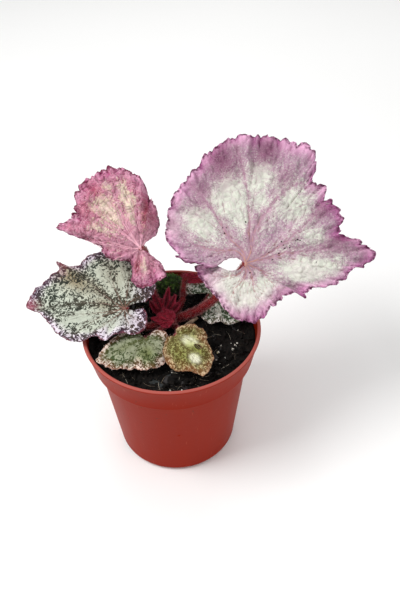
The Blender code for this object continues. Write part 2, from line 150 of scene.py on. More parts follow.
def add(tree, kind, inputs=None, out=0, **settings):
    """Add a node and return one output. An input that is a socket is linked, any other is set."""
    node = tree.nodes.new(kind)
    for name, value in settings.items():
        setattr(node, name, value)
    for name, value in (inputs or {}).items():
        if isinstance(value, bpy.types.NodeSocket):
            tree.links.new(value, node.inputs[name])
        else:
            node.inputs[name].default_value = value
    return node.outputs[out] if node.outputs else None


def new_finish(name, **sockets):
    """A Principled material with constants set, its tree, its shader and Object coordinates."""
    material = bpy.data.materials.new(name)
    material.use_nodes = True
    tree = material.node_tree
    shader = tree.nodes["Principled BSDF"]
    for socket, value in sockets.items():
        shader.inputs[socket.replace("_", " ")].default_value = value
    return material, tree, shader, add(tree, "ShaderNodeTexCoord", out="Object")


def wire(tree, shader, colour, height=None, strength=0.3, deep_mm=0.3):
    """Link a colour to a shader, and a bump where a height is given."""
    tree.links.new(colour, shader.inputs["Base Color"])
    if height is not None:
        bump = add(tree, "ShaderNodeBump", {"Height": height, "Strength": strength, "Distance": deep_mm * MM})
        tree.links.new(bump, shader.inputs["Normal"])


def two_tone(name, first, second, size_mm, field=None, span=(0.35, 0.65), detail=3.0, rough=0.5,
             bump=(0.3, 0.3), over=None, **sockets):
    """A finish between two colours by noise of one size, or along a field, with a tone over a field."""
    material, tree, shader, place = new_finish(name, **sockets)
    clouds = add(tree, "ShaderNodeTexNoise",
                 {"Vector": place, "Scale": 1 / (size_mm * MM), "Detail": detail, "Roughness": rough})
    if field:
        share = add(tree, "ShaderNodeAttribute", out="Fac", attribute_name=field)
    else:
        share = add(tree, "ShaderNodeMapRange", {"Value": clouds, "From Min": span[0], "From Max": span[1]})
    tones = [(share, linear(second))]
    if over:
        tones.append((add(tree, "ShaderNodeAttribute", out="Fac", attribute_name=over[0]), linear(over[1])))
    tone = linear(first)
    for share, colour in tones:
        tone = add(tree, "ShaderNodeMix", {0: share, 6: tone, 7: colour}, out=2, data_type="RGBA")
    wire(tree, shader, tone, clouds if bump else None, *(bump or ()))
    return material


print("a grey of #808080 in linear light:", round(linear("#808080")[0], 3))

# %% [markdown]
# Helpers for pieces. Every finished piece sits at the origin, rides on the pot's body and says which
# CAD nodes it stands for. Small things that repeat, such as hairs, crumbs and moss shoots, are spread
# over a host surface by one Geometry Nodes tree, then turned into a plain mesh.

# %% Helpers for pieces
BODY = list(frame["bodies"])[0]
print("body:", BODY)


def finish_piece(piece, slot, *nodes, smooth=True):
    """Say what a piece rides on and which CAD nodes it stands for. The slot argument is not used."""
    if smooth:
        piece.data.shade_smooth()
    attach(piece, BODY)
    if nodes:
        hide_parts(*nodes)
    print(f"{piece.name}: {len(piece.data.polygons)} faces")


def from_bmesh(name, bm, hidden=False):
    """A bmesh as an object. A hidden one is only there to be copied."""
    mesh = bpy.data.meshes.new(name)
    bm.to_mesh(mesh)
    bm.free()
    made = link_new(name, mesh)
    made.hide_render = hidden
    return made


def bake_object(source, name):
    """Replace an object that has modifiers by one with what it shows, as a plain mesh."""
    graph = bpy.context.evaluated_depsgraph_get()
    mesh = bpy.data.meshes.new_from_object(source.evaluated_get(graph))
    mesh.name = name
    bpy.data.objects.remove(source)
    return link_new(name, mesh)


def joined(name, pieces):
    """Several mesh objects as one."""
    with bpy.context.temp_override(active_object=pieces[0], selected_editable_objects=pieces):
        bpy.ops.object.join()
    pieces[0].name = name
    pieces[0].data.name = name
    return pieces[0]


def places_of(mesh):
    """A mesh's vertices as an array in millimetres."""
    places = np.empty(len(mesh.vertices) * 3, dtype=np.float32)
    mesh.vertices.foreach_get("co", places)
    return places.reshape(-1, 3) / MM


def set_places(mesh, places):
    """Move a mesh's vertices to places in millimetres."""
    mesh.vertices.foreach_set("co", (places * MM).astype(np.float32).ravel())
    mesh.update()


def set_field(mesh, name, values):
    """Write a value for each vertex, or one for all of them, as an attribute."""
    field = mesh.attributes.new(name, "FLOAT", "POINT")
    field.data.foreach_set("value", np.full(len(mesh.vertices), values, dtype=np.float32))


def smooth_step(x):
    """0 below 0, 1 above 1, and a smooth rise between."""
    x = np.clip(x, 0.0, 1.0)
    return x * x * (3 - 2 * x)


def bumps(places, size, seed=0.0):
    """Smooth noise at each place, from about -0.5 to 0.5, with bumps of one size."""
    shift = Vector((seed, seed * 0.7, -seed))
    return np.array([noise.noise(Vector(place).to_3d() / size + shift) for place in places])


# %% Spread copies over a surface
def new_tree(name, inputs):
    """A Geometry Nodes tree with named inputs and one geometry out; returns it and its inputs."""
    tree = bpy.data.node_groups.new(name, "GeometryNodeTree")
    for label, kind in inputs.items():
        tree.interface.new_socket(label, in_out="INPUT", socket_type="NodeSocket" + kind)
    tree.interface.new_socket("Result", in_out="OUTPUT", socket_type="NodeSocketGeometry")
    return tree, add(tree, "NodeGroupInput").node.outputs


def end_tree(tree, geometry, finish):
    """End a tree in real geometry with its finish set."""
    real = add(tree, "GeometryNodeRealizeInstances", {"Geometry": geometry})
    dressed = add(tree, "GeometryNodeSetMaterial", {"Geometry": real, "Material": finish})
    add(tree, "NodeGroupOutput", {"Result": dressed})
    return tree


def spread_tree():
    """Spread copies of one small shape over a host's faces, where its 'cover' attribute lets them."""
    tree, given = new_tree("spread", {
        "Host": "Geometry", "Shape": "Object", "Per square metre": "Float", "Smallest": "Float",
        "Largest": "Float", "Lean": "Float", "Seed": "Int", "Finish": "Material"})
    cover = add(tree, "GeometryNodeInputNamedAttribute", {"Name": "cover"}, data_type="FLOAT")
    density = add(tree, "ShaderNodeMath", {0: given["Per square metre"], 1: cover}, operation="MULTIPLY")
    points = add(tree, "GeometryNodeDistributePointsOnFaces",
                 {"Mesh": given["Host"], "Density": density, "Seed": given["Seed"]},
                 distribute_method="RANDOM")
    lean = given["Lean"]
    back = add(tree, "ShaderNodeMath", {0: lean, 1: -1.0}, operation="MULTIPLY")
    low = add(tree, "ShaderNodeCombineXYZ", {0: back, 1: back, 2: 0.0})
    high = add(tree, "ShaderNodeCombineXYZ", {0: lean, 1: lean, 2: 2 * pi})
    angles = add(tree, "FunctionNodeRandomValue", {0: low, 1: high, "Seed": given["Seed"]},
                 data_type="FLOAT_VECTOR")
    turn = add(tree, "FunctionNodeEulerToRotation", {0: angles})
    way = add(tree, "FunctionNodeRotateRotation", {0: points.node.outputs["Rotation"], 1: turn},
              rotation_space="LOCAL")
    size = add(tree, "FunctionNodeRandomValue",
               {2: given["Smallest"], 3: given["Largest"], "Seed": given["Seed"]}, out=1, data_type="FLOAT")
    shape = add(tree, "GeometryNodeObjectInfo", {"Object": given["Shape"]}, out="Geometry")
    copies = add(tree, "GeometryNodeInstanceOnPoints",
                 {"Points": points, "Instance": shape, "Rotation": way, "Scale": size})
    return end_tree(tree, copies, given["Finish"])


def run_tree(name, host_data, tree, **values):
    """Run a Geometry Nodes tree on a mesh or curve and return the result as a plain object."""
    host = link_new(name + "_host", host_data)
    step = host.modifiers.new(tree.name, "NODES")
    step.node_group = tree
    named = {item.name: item.identifier for item in tree.interface.items_tree if item.in_out == "INPUT"}
    for key, value in values.items():
        step[named[key.replace("_", " ")]] = value
    return bake_object(host, name)


SPREAD = spread_tree()
print("spread takes:", *[item.name for item in SPREAD.interface.items_tree])


def spread(name, mesh, shape, seed, finish, density, smallest, largest, lean, cover=1.0):
    """Copies of a shape over a mesh. cover says, for each vertex or for all, how thickly they lie."""
    host = mesh.copy()
    set_field(host, "cover", cover)
    return run_tree(name, host, SPREAD, Shape=shape, Seed=seed, Finish=finish, Per_square_metre=density,
                    Smallest=smallest, Largest=largest, Lean=lean)


# %% [markdown]
# Floor. The plant stands on white photo paper. One large flat face is enough, far wider than the
# view, because paper shows no edge here and only catches the shadow.

# %% Floor of white paper
FLOOR_HALF = 3.0  # metres
FLOOR_DROP = 0.2  # millimetres under the pot's foot, so that the two don't flicker
PAPER_CLOUD_MM = 333.3
bm = bmesh.new()
bmesh.ops.create_grid(bm, x_segments=1, y_segments=1, size=FLOOR_HALF)
floor = from_bmesh("floor", bm)
floor.location.z = -FLOOR_DROP * MM
# Uncoated paper: matt, with hardly a change of tone.
floor.data.materials.append(two_tone("white_paper", "#F7F7F6", "#FBFBFA", PAPER_CLOUD_MM, span=(0, 1),
                                     detail=2.0, bump=None, Roughness=0.9))
floor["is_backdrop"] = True
print("floor:", 2 * FLOOR_HALF, "m wide")

# %% [markdown]
# The pot is injection-moulded polypropylene, terracotta red. Such a pot is a thin wall turned round
# one axis, so a profile with a Screw modifier makes it; the drain slots and holes are then cut. It
# has a rounded lip, a collar that stacks on the next pot, and the small round mark on the wall
# where the plastic came into the mould.

# %% The pot's shape
# From here on, lengths are in millimetres and bearings in degrees.
POT_HEIGHT = 104.0
RIM_RADIUS = 60.0
LIP_RADIUS = 1.25
COLLAR_TOP_RADIUS = 59.1
COLLAR_FOOT_RADIUS = 55.6
COLLAR_FOOT_Z = POT_HEIGHT - 21.2
COLLAR_EDGE = 0.6
BODY_TOP_RADIUS = 52.0
BODY_FOOT_RADIUS = 42.9
CORNER_RADIUS = 4.7
POT_WALL = 1.2
FLOOR_THICKNESS = 1.6
POT_STEPS = 168
MERGE_WITHIN = 0.01
SLOT_BEARINGS = (210, 30)
SLOT_SIZE = (13.0, 15.0, 7.2)
SLOT_ROUNDING = 1.2
DRAIN_HOLES = 5
DRAIN_RADIUS = 3.0
DRAIN_RING_RADIUS = 25.0
SMOOTH_BELOW = radians(38)


def arc(centre, radius, start, end, steps):
    """Points on an arc in the profile's plane, angles in degrees."""
    turns = [radians(start + (end - start) * k / steps) for k in range(steps + 1)]
    return [(centre[0] + radius * cos(a), centre[1] + radius * sin(a)) for a in turns]


def inner_wall():
    """The pot's inner surface from the floor up to under the lip."""
    return [
        (BODY_FOOT_RADIUS - CORNER_RADIUS, FLOOR_THICKNESS),
        (BODY_FOOT_RADIUS - 2.2, FLOOR_THICKNESS + 2.0),
        (BODY_TOP_RADIUS - POT_WALL, COLLAR_FOOT_Z - 1.0),
        (COLLAR_FOOT_RADIUS - POT_WALL, COLLAR_FOOT_Z + 1.4),
        (COLLAR_TOP_RADIUS - POT_WALL, POT_HEIGHT - 3.0),
    ]


def turned(name, profile, steps):
    """A solid turned round Z from (radius, height) points in millimetres."""
    bm = bmesh.new()
    points = [bm.verts.new((radius * MM, 0, height * MM)) for radius, height in profile]
    for start, end in zip(points, points[1:]):
        bm.edges.new((start, end))
    made = from_bmesh(name, bm)
    screw = made.modifiers.new("turn", "SCREW")
    screw.steps = steps
    screw.render_steps = steps
    screw.use_merge_vertices = True
    screw.merge_threshold = MERGE_WITHIN * MM
    return made


def cut(target, bm, reach, turn, aligned):
    """Cut a shape made by a bmesh operator out of a target, at a distance from the axis."""
    cutter = from_bmesh("cutter", bm)
    cutter.location = (reach * MM * cos(turn), reach * MM * sin(turn), 0)
    cutter.rotation_euler.z = turn if aligned else 0
    step = target.modifiers.new("cut", "BOOLEAN")
    step.object = cutter
    step.solver = "EXACT"
    return cutter


def pot_shape():
    """The turned pot with its drain slots and holes."""
    lip = arc((RIM_RADIUS - LIP_RADIUS, POT_HEIGHT - LIP_RADIUS), LIP_RADIUS, 150, -30, 9)
    collar = [(COLLAR_TOP_RADIUS, POT_HEIGHT - 3.0), (COLLAR_FOOT_RADIUS, COLLAR_FOOT_Z + 0.7)]
    step = arc((COLLAR_FOOT_RADIUS - COLLAR_EDGE, COLLAR_FOOT_Z + COLLAR_EDGE), COLLAR_EDGE, 0, -90, 3)
    step += [(BODY_TOP_RADIUS + 0.3, COLLAR_FOOT_Z - 0.1), (BODY_TOP_RADIUS, COLLAR_FOOT_Z - 0.6)]
    corner = arc((BODY_FOOT_RADIUS - CORNER_RADIUS, CORNER_RADIUS), CORNER_RADIUS, 0, -90, 8)
    profile = [(0, FLOOR_THICKNESS)] + inner_wall() + lip + collar + step + corner + [(0, 0)]
    pot = turned("pot_turned", profile, POT_STEPS)
    cutters = []
    for bearing in SLOT_BEARINGS:
        bm = bmesh.new()
        bmesh.ops.create_cube(bm, size=1, matrix=Matrix.Diagonal((*SLOT_SIZE, 1)) * MM)
        edges = [e for e in bm.edges if abs((e.verts[0].co - e.verts[1].co).x) > SLOT_SIZE[0] * MM / 2]
        bmesh.ops.bevel(bm, geom=edges, offset=SLOT_ROUNDING * MM, segments=4, affect="EDGES", profile=0.5)
        cutters.append(cut(pot, bm, BODY_FOOT_RADIUS + 0.5, radians(bearing), True))
    for number in range(DRAIN_HOLES):
        bm = bmesh.new()
        bmesh.ops.create_cone(bm, cap_ends=True, segments=32, radius1=DRAIN_RADIUS * MM,
                              radius2=DRAIN_RADIUS * MM, depth=0.01)
        cutters.append(cut(pot, bm, DRAIN_RING_RADIUS, 2 * pi * (number + 0.25) / DRAIN_HOLES, False))
    shell = bake_object(pot, "pot_shell")
    for cutter in cutters:
        bpy.data.objects.remove(cutter)
    return shell


pot = pot_shape()
pot.data.shade_smooth()
pot.data.set_sharp_from_angle(angle=SMOOTH_BELOW)
print("pot:", len(pot.data.polygons), "faces")

# %% [markdown]
# Polypropylene has a soft gloss. Its colour is even, with faint upright flow streaks from the
# moulding, fine scratches from handling, and grains of dust that cling to it. An image could carry
# these marks, but noises over Object coordinates need no file and have a real size. The scratches are
# drawn coarser than real ones, which would be too fine to show. An IOR of 1.49 is typical of the
# plastic.

# %% The pot's finish
LIP_HIGHLIGHT_HEIGHTS = (0.1029, 0.1035)  # heights in metres between which the painted highlight on the lip sets in
STREAK_MM = (11.11, 11.11, 111.1)  # a flow streak: narrow round the pot and long upwards
SCRATCH_MM = (1.111, 1.111, 55.56)  # a scratch, along a slanting way
SCRATCH_SLANT = (0.5, 0.3, 0.4)  # radians
DUST_MM = 2.381
PEEL_MM = 2.857  # the skin's faint orange peel


def terracotta_plastic():
    """Moulded terracotta-red polypropylene."""
    material, tree, shader, place = new_finish("moulded_polypropylene", IOR=1.49, Specular_IOR_Level=0.05)
    tall, slanted = (
        add(tree, "ShaderNodeMapping",
            {"Vector": place, "Rotation": slant, "Scale": [1 / (size * MM) for size in sizes]})
        for sizes, slant in ((STREAK_MM, (0, 0, 0)), (SCRATCH_MM, SCRATCH_SLANT)))
    streaks, specks, lines, peel = (
        add(tree, "ShaderNodeTexNoise", {"Vector": where, "Scale": scale, "Detail": detail})
        for where, scale, detail in ((tall, 1.0, 3.0), (place, 1 / (DUST_MM * MM), 1.0),
                                     (slanted, 1.0, 0.0), (place, 1 / (PEEL_MM * MM), 2.0)))
    height = add(tree, "ShaderNodeSeparateXYZ", {0: place}, out=2)
    colour = linear("#861C06")
    layers = (  # what drives it, from, to, how strong it gets, and the colour it brings
        (streaks, 0.0, 1.0, 1.0, "#92240E"),  # flow streaks
        (specks, 0.75, 0.78, 1.0, "#5A2A1E"),  # dust
        (lines, 0.78, 0.84, 0.25, "#C0604C"),  # scratches
        (height, *LIP_HIGHLIGHT_HEIGHTS, 0.5, "#C4746C"))  # painted highlight along the lip
    for value, low, high, most, over in layers:
        share = add(tree, "ShaderNodeMapRange",
                    {"Value": value, "From Min": low, "From Max": high, "To Max": most})
        colour = add(tree, "ShaderNodeMix", {0: share, 6: colour, 7: linear(over)}, out=2, data_type="RGBA")
    rough = add(tree, "ShaderNodeMapRange", {"Value": streaks, "To Min": 0.36, "To Max": 0.5})
    tree.links.new(rough, shader.inputs["Roughness"])
    wire(tree, shader, colour, peel, 0.12, 0.4)
    return material


pot.data.materials.append(terracotta_plastic())
finish_piece(pot, "pot", "pot", smooth=False)

# %% The mark where the plastic came into the mould
GATE_PLACE = Vector((2.8, -47.6, 46.4)) * MM
GATE_SIZE = Vector((1.1, 0.45, 1.1)) * MM
bm = bmesh.new()
bmesh.ops.create_uvsphere(bm, u_segments=24, v_segments=12, radius=1.0)
for vertex in bm.verts:
    vertex.co = vertex.co * GATE_SIZE + GATE_PLACE
gate = from_bmesh("mould_gate", bm)
gate.data.materials.append(pot.data.materials[0])
finish_piece(gate, "pot")

# %% [markdown]
# Leaves. A begonia leaf is a fan of main veins round its hub, so the blade is laid out as one: a
# fine grid whose columns run from the hub to the margin and whose rows run round it. The tables are
# the CAD part's own, so each blade keeps its form. Finer things are added to it: teeth, frills at
# the margin, veins that sink into the upper face and stand out below, and the quilting between them.

# %% Where each leaf is and what is drawn on it
# hub, and faces: where the normal points, as bearing and height in degrees. heading: the midrib's.
# ribs: bearing from the midrib in degrees, reach and lift in millimetres, in order round the blade.
# cords: bearings of each vein near the hub, halfway and at the margin, where it isn't straight.
# patch: bearing, distance from the hub, half length, half width in millimetres, and strength of
# each pale blotch. fleck is the same for groups of dark specks, tint for darker stretches, wash for
# stretches of one colour, and blush where a blade has its margin's colours further in. crease and pleat
# are patches whose strength is a height. hole is a patch without a strength, and notch has bearing,
# half width in degrees and depth at the margin.
LEAVES = {
    "big_leaf": {
        "hub": (49, 7, 150), "faces": (-100, 58), "heading": 0,
        "ribs": ((-187, 33, -8), (-160, 29, -2), (-134, 29, 2), (-112, 36, 4), (-98, 39, 5), (-84, 40, 5),
            (-70, 36, 5), (-56, 33, 4), (-43, 36, 3), (-37, 43, 2), (-30, 44, 2), (-24, 54, 0),
            (-16, 62, -1), (-11, 65, -3), (-7, 74, -4), (0, 82, -6), (5, 74, -4), (14, 64, -1),
            (21, 70, 0), (34, 68, 2), (39, 73, 3), (45, 69, 3), (49, 80, 3), (54, 88, 2), (63, 89, 1),
            (76, 92, -1), (90, 91, -2), (104, 83, -3), (117, 73, -4), (131, 67, -4), (148, 58, -2),
            (157, 53, 0), (163, 46, 2), (168, 42, 4), (171, 43.5, 4), (174, 36, 5), (178, 30, 5),
            (182, 24, 4), (181, 18, 2)),
        "veins": (-150, -106, -70, -38, 3, 38, 70, 112, 156),
        "cords": ((-156, -161, -166), (-122, -118, -112), (-88, -80, -72), (-36, -44, -52), (12, 6, 0),
            (14, 24, 34), (76, 60, 42), (74, 82, 90), (120, 114, 118), (130, 151, 142)),
        "patch": ((130, 40, 12, 8, 0.75), (97, 46, 13, 10, 0.95), (92, 28, 7, 6, 0.55),
            (74, 60, 10, 8, 0.6), (73, 45, 7, 6, 0.45), (44, 52, 14, 10, 0.52), (17, 47, 8, 6, 0.3),
            (-15, 37, 13, 8, 0.8), (-8, 51, 11, 6, 0.6), (-135, 21, 10, 8, 0.8), (-98, 22, 10, 10, 0.85),
            (-62, 22, 10, 8, 0.6)),
        "tint": ((96, 74, 18, 12, 1.0), (112, 62, 8, 8, 0.6), (74, 80, 14, 10, 1.0), (60, 64, 9, 6, 0.6),
            (28, 60, 9, 5, 0.7), (8, 62, 14, 5, 0.8), (-100, 38, 6, 16, 0.45), (-50, 34, 6, 9, 0.4),
            (120, 52, 10, 9, 0.5)),
        "wash": ((-150, 22, 9, 9, 0.5), (-104, 26, 10, 12, 0.5), (-70, 25, 8, 9, 0.4),
            (-16, 40, 13, 8, 0.5), (143, 56, 7, 12, 0.35)),
        "fleck": ((8, 18, 7, 3, 1.0), (18, 30, 9, 3, 1.0), (-86, 10, 5, 4, 0.6), (114, 27, 12, 2.5, 0.5),
            (84, 22, 9, 4, 0.4), (-7, 47, 4, 2, 0.5)),
        "pleat": ((-112, 24, 12, 16, 0.55), (-60, 26, 9, 10, 0.3))},
    "pink_leaf": {
        "hub": (-17, 13, 160), "faces": (-95, 52), "heading": 167,
        "ribs": ((-112, 14, -14), (-102, 23, -17), (-93, 30, -13), (-86, 37, -5), (-80, 43, 0),
            (-72, 48, 2), (-63, 54, 2), (-54, 58, 1), (-43, 59, 0), (-33, 58, 0), (-24, 54, 0),
            (-15, 49, 0), (-9, 52, -2), (-3.5, 59, -6), (-1, 45, -7), (3, 36, -8), (8, 28, -8),
            (15, 24, -8), (23, 23, -8), (34, 17, -8), (48, 12, -6), (64, 10, -3), (80, 14, 0), (92, 24, 3),
            (108, 26, 5), (128, 26, 5), (143, 25, 4), (156, 15, 1)),
        "veins": (-96, -72, -54, -33, -3, 24, 60, 98, 128),
        "cords": ((-108, -104, -100), (-95, -98, -98), (-78, -68, -68), (-41, -50, -58), (-36, -44, -43),
            (-29, -31, -30), (-27, -25, -20), (16, -3, -8), (24, 8, 2), (50, 44, 40), (90, 94, 98),
            (112, 112, 112), (142, 145, 148)),
        "patch": ((-36, 32, 12, 6.5, 1.15), (-61, 34, 13, 4.5, 1.0), (-50, 46, 5, 4, 0.5),
            (112, 14, 7, 2.5, 0.6), (10, 22, 6, 3, 0.3), (-12, 30, 8, 3, 0.4), (-28, 22, 6, 3, 0.4)),
        # the first two tints are painted shade: one along the crease, one on the lobe that bends back
        "tint": ((-83, 25, 13, 2.0, 0.8), (-94, 25, 8, 4, 0.5), (-22, 46, 9, 5, 0.5), (-40, 50, 8, 5, 0.5),
            (94, 12, 6, 2.5, 0.8), (4, 40, 6, 3, 0.6)),
        "wash": ((-37, 33, 6, 3, 0.5), (-34, 27, 4, 2.5, 0.4), (-60, 38, 5, 2, 0.5), (-60, 30, 4, 2, 0.4),
            (112, 13, 5, 1.8, 0.35)),
        "crease": ((-83, 27, 14, 2.0, 2.2),), "notch": ((-85, 3.5, 4.0), (4, 3.0, 5.0), (31, 5.0, 4.0))},
    "silver_leaf": {
        "hub": (-29, -4, 124), "faces": (-115, 68), "heading": 168,
        "ribs": ((-150, 14, -3), (-141, 20, -4), (-127, 26, -4), (-107, 33, -2), (-91, 40, 0),
            (-76, 46, 0), (-62, 49, 0), (-50, 51, 0), (-40, 51, 0), (-33, 54, 1), (-30.4, 63.6, 2),
            (-27, 58, 0), (-22, 62.5, -2), (-16, 66, -2), (-8, 69, -3), (-1, 73, -6), (4, 61, -5),
            (13, 53, -3), (23, 48, -3), (35, 41, -3), (43, 33, -2), (54, 26, 0), (66, 25, -1), (82, 19, 0),
            (97, 17, 0), (112, 19, -2), (130, 19, -3), (150, 18, -3), (168, 15, -2), (186, 12, 0)),
        "veins": (-128, -96, -64, -32, -2, 30, 62, 110, 150),
        "cords": ((-120, -128, -135), (-90, -86, -88), (-50, -58, -62), (-24, -32, -32), (-18, -4, 2),
            (16, 12, 8), (20, 27, 32), (62, 50, 44), (100, 112, 118), (146, 140, 150)),
        "patch": ((17, 34, 12, 4, 0.3), (26, 22, 6, 3, 0.2), (59, 15, 8, 4, 0.25), (-70, 22, 9, 3, 0.2),
            (-50, 31, 11, 3, 0.12), (142, 13, 8, 6, 0.1), (36, 30, 8, 3, 0.2), (-22, 36, 12, 4, 0.1),
            (2, 54, 15, 14, 0.05)),
        "tint": ((-26, 46, 22, 8, 0.9), (-30, 28, 14, 5, 0.6), (-10, 16, 10, 6, 0.6),
            (-66, 30, 18, 14, 0.35)),
        "wash": ((-1, 70, 7, 4, 0.8), (-31, 60, 6, 3, 0.6)), "fleck": ((-27, 47, 14, 6, 0.8),),
        "blush": ((148, 15, 11, 13, 1.0), (-132, 20, 10, 9, 1.0), (-104, 28, 8, 5, 0.6))},
    "front_leaf": {
        "hub": (-16.5, -18.5, 111), "faces": (-95, 77), "heading": -158,
        "ribs": ((-70, 7, 0), (-58, 10, 0), (-38, 17, -1), (-14, 26, -2), (-2, 32, -2), (4, 34, -3),
            (13, 31, -3), (23, 28.5, -3), (33, 25.5, -3), (46, 22, -3), (65, 22, -3), (78, 22, -3),
            (97, 21, -4), (114, 20, -5), (135, 18, -5), (160, 16, -4), (183, 13, -2), (203, 7, 0)),
        "veins": (-38, 2, 40, 78, 116, 155),
        "patch": ((-4, 20, 9, 3, 0.15), (24, 14, 7, 4, 0.2), (100, 11, 6, 4, 0.2)),
        "tint": ((75, 12, 7, 5, 0.8), (5, 14, 8, 3, 0.4), (60, 12, 5, 4, 0.6))},
    "bronze_leaf": {
        "hub": (3.5, -18.5, 113), "faces": (-85, 77), "heading": -58,
        "ribs": ((-108, 6, 0), (-88, 8, -1), (-64, 15, -1), (-44, 21.5, -2), (-32, 25, -3), (-21, 26, -3),
            (-9, 28.5, -3), (-1, 33, -3), (10, 32, -3), (23, 29, -3), (46, 21, -2), (70, 19, -2),
            (87, 15.5, -1), (115, 9.5, -1), (148, 5, 0)),
        "veins": (-60, -28, 4, 36, 74), "patch": ((30, 9, 5, 3, 0.25), (3, 20, 4, 3, 0.25)),
        "tint": ((20, 15, 8, 4, 0.7), (-20, 18, 8, 5, 0.5)),
        "wash": ((29, 10.5, 4.2, 2.4, 3.0), (3, 21, 2.8, 2.4, 3.0)), "hole": ((26, 16.5, 2.6, 1.9),)},
    "back_leaf": {
        "hub": (26.5, 25.5, 109), "faces": (-75, 80), "heading": -23,
        "ribs": ((-96, 10, -1), (-87, 18, -2), (-72, 23, -2), (-52, 24, -2), (-38, 28, -3), (-19, 30, -3),
            (5, 27, -3), (30, 24, -2), (52, 22, -1), (84, 18, -1), (110, 14, 0), (135, 13, 0),
            (162, 18, -1), (183, 18, -1), (200, 16, -2)),
        "veins": (-70, -30, 5, 48, 100, 160), "patch": ((-55, 14, 6, 4, 0.1),)},
    "young_leaf": {
        "hub": (-6, 12, 102.5), "faces": (-90, 30), "heading": 80,
        "ribs": ((-84, 3.5, 1), (-62, 11, 3), (-50, 15, 0), (-38, 13, 3), (-28, 17, -1), (-19, 13.5, 3),
            (-8, 20, 0), (0, 13.5, 3), (9, 12, -1), (17, 12.5, 2), (27, 18, -1), (37, 12, 2), (45, 14, 0),
            (62, 9, 2), (86, 4, 1)),
        "veins": (-50, -28, -8, 27, 45)},
    "sheath_leaf": {
        "hub": (1.5, 2.5, 105), "faces": (-98, 40), "heading": 155,
        "ribs": ((-84, 4, 1), (-58, 7.5, 2), (-40, 8.5, 1), (-24, 12.5, 2), (-12, 10.5, 0), (0, 12, 1),
            (12, 12.5, 0), (21, 16, -1), (30, 12, 1), (42, 9.5, 2), (60, 7.5, 3), (84, 4, 2)),
        "veins": (-24, 0, 21, 42)},
    "bud_leaf": {
        "hub": (11, 31, 118.5), "faces": (-88, 25), "heading": 1,
        "ribs": ((-84, 2.5, 0), (-50, 3.5, 1), (-32, 5, 1), (-20, 8, 1), (-11, 12, 0), (-3, 16.5, 0),
            (6, 13, -1), (14, 8, 1), (20, 9.5, 0), (28, 6, 1), (40, 6.5, 1), (58, 5.5, 1), (84, 3.5, 1),
            (112, 4.5, 0), (132, 3.5, 1), (156, 5, 0)),
        "veins": (-20, 0, 24, 58, 112)},
}
BLADE_THICKNESS = 0.6
RUFFLE_REACH = 25.0  # leaves with less reach than this are less ruffled
MARGIN_STEPS = 2400

# %% Measures of each leaf
MEASURES = {  # one value for each leaf, in the order of LEAVES; lengths in millimetres
    # share by which the blade draws in round the hub, which opens a notch
    "sinus": (0.3, 0.0, 0.12, 0.1, 0.0, 0.08, 0.0, 0.0, 0.0),
    "sinus_reach": (21, 10, 14, 8, 8, 8, 4, 4, 4),  # how far out it does so
    "puff": (1.8, 1.6, 1.4, 1.0, 1.0, 1.0, 2.4, 1.6, 0.9),  # height of the blade between its veins
    "ruffle": (1.6, 1.5, 1.2, 0.6, 0.6, 0.7, 0.8, 0.6, 0.5),  # height of the slow wave at the margin
    "waves": (15, 13, 13, 11, 8, 10, 9, 5, 5),  # number of those waves
    "columns": (560, 420, 420, 260, 220, 240, 120, 90, 90),  # grid round the blade
    "rows": (74, 55, 53, 36, 36, 36, 40, 30, 30),  # grid from hub to margin
    "tooth": (0.8, 0.9, 0.5, 0.5, 0.4, 0.4, 0.4, 0.3, 0.3),  # depth of the small teeth
    "tooth_pitch": (3.1, 2.8, 3.4, 2.4, 2.4, 2.4, 1.8, 1.8, 1.8),  # length of one
    "lobe": (2.0, 1.7, 0.5, 1.0, 0.9, 0.8, 0.3, 0.2, 0.2),  # depth of the larger ones
    "frill": (2.1, 1.9, 0.7, 0.8, 0.7, 0.7, 0.5, 0.3, 0.3),  # height of the folds at the margin
    "quilt": (1.25, 1.7, 0.6, 0.6, 0.75, 0.5, 0.7, 0.5, 0.5),  # height of the quilting
    "vein_radius": (0.62, 0.55, 0.5, 0.36, 0.34, 0.36, 0.4, 0.35, 0.35),  # of a main vein's cord
    "margin_width": (12, 11, 11, 8, 9, 6, 3, 2.5, 2.5),  # width of the margin's colours
    # how much more scale lies between the veins
    "wedge": (0.08, 0.12, 0.08, 0.04, 0.03, 0.05, 0.3, 0.3, 0.3),
    "base": (0.39, 0.3, 0.485, 0.48, 0.46, 0.47, 0.4, 0.5, 0.4),  # share of pale scale
    "vein_share": (-0.2, -0.25, -0.1, -0.05, -0.05, -0.05, 0.2, 0.2, 0.2),  # how the veins change that
    "side_share": (0.15, 0.3, 0.8, 0.8, 0.5, 0.8, 1.0, 1.0, 1.0),  # of which on side veins
    "rim_share": (-0.04, -0.05, -0.01, 0.015, 0.02, 0.02, 0.0, 0.0, 0.0),  # how the margin changes it
    "vein_mix": (0.15, 0.8, 0.0, 0.0, 0.0, 0.0, 0.4, 0.4, 0.4),  # strength of the veins' own colour
    "fan": (42, 26, 32, 14, 14, 14, 12, 8, 8),  # distance from the hub at which the pattern isn't stretched
    # hairs per square metre of the margin's strip
    "hair_density": (1.6e6, 2.2e6, 1.8e6, 1.8e6, 1.8e6, 1.8e6, 4.0e6, 4.0e6, 5.0e6),
    "hair_short": (0.5, 0.5, 0.4, 0.3, 0.3, 0.3, 0.8, 0.7, 1.2),  # shortest, in millimetres
    "hair_long": (1.2, 1.3, 0.9, 0.8, 0.8, 0.8, 1.8, 1.5, 2.6),  # longest
}
for number, leaf in enumerate(LEAVES.values()):
    leaf.update({key: values[number] for key, values in MEASURES.items()})
print("leaves:", *LEAVES)


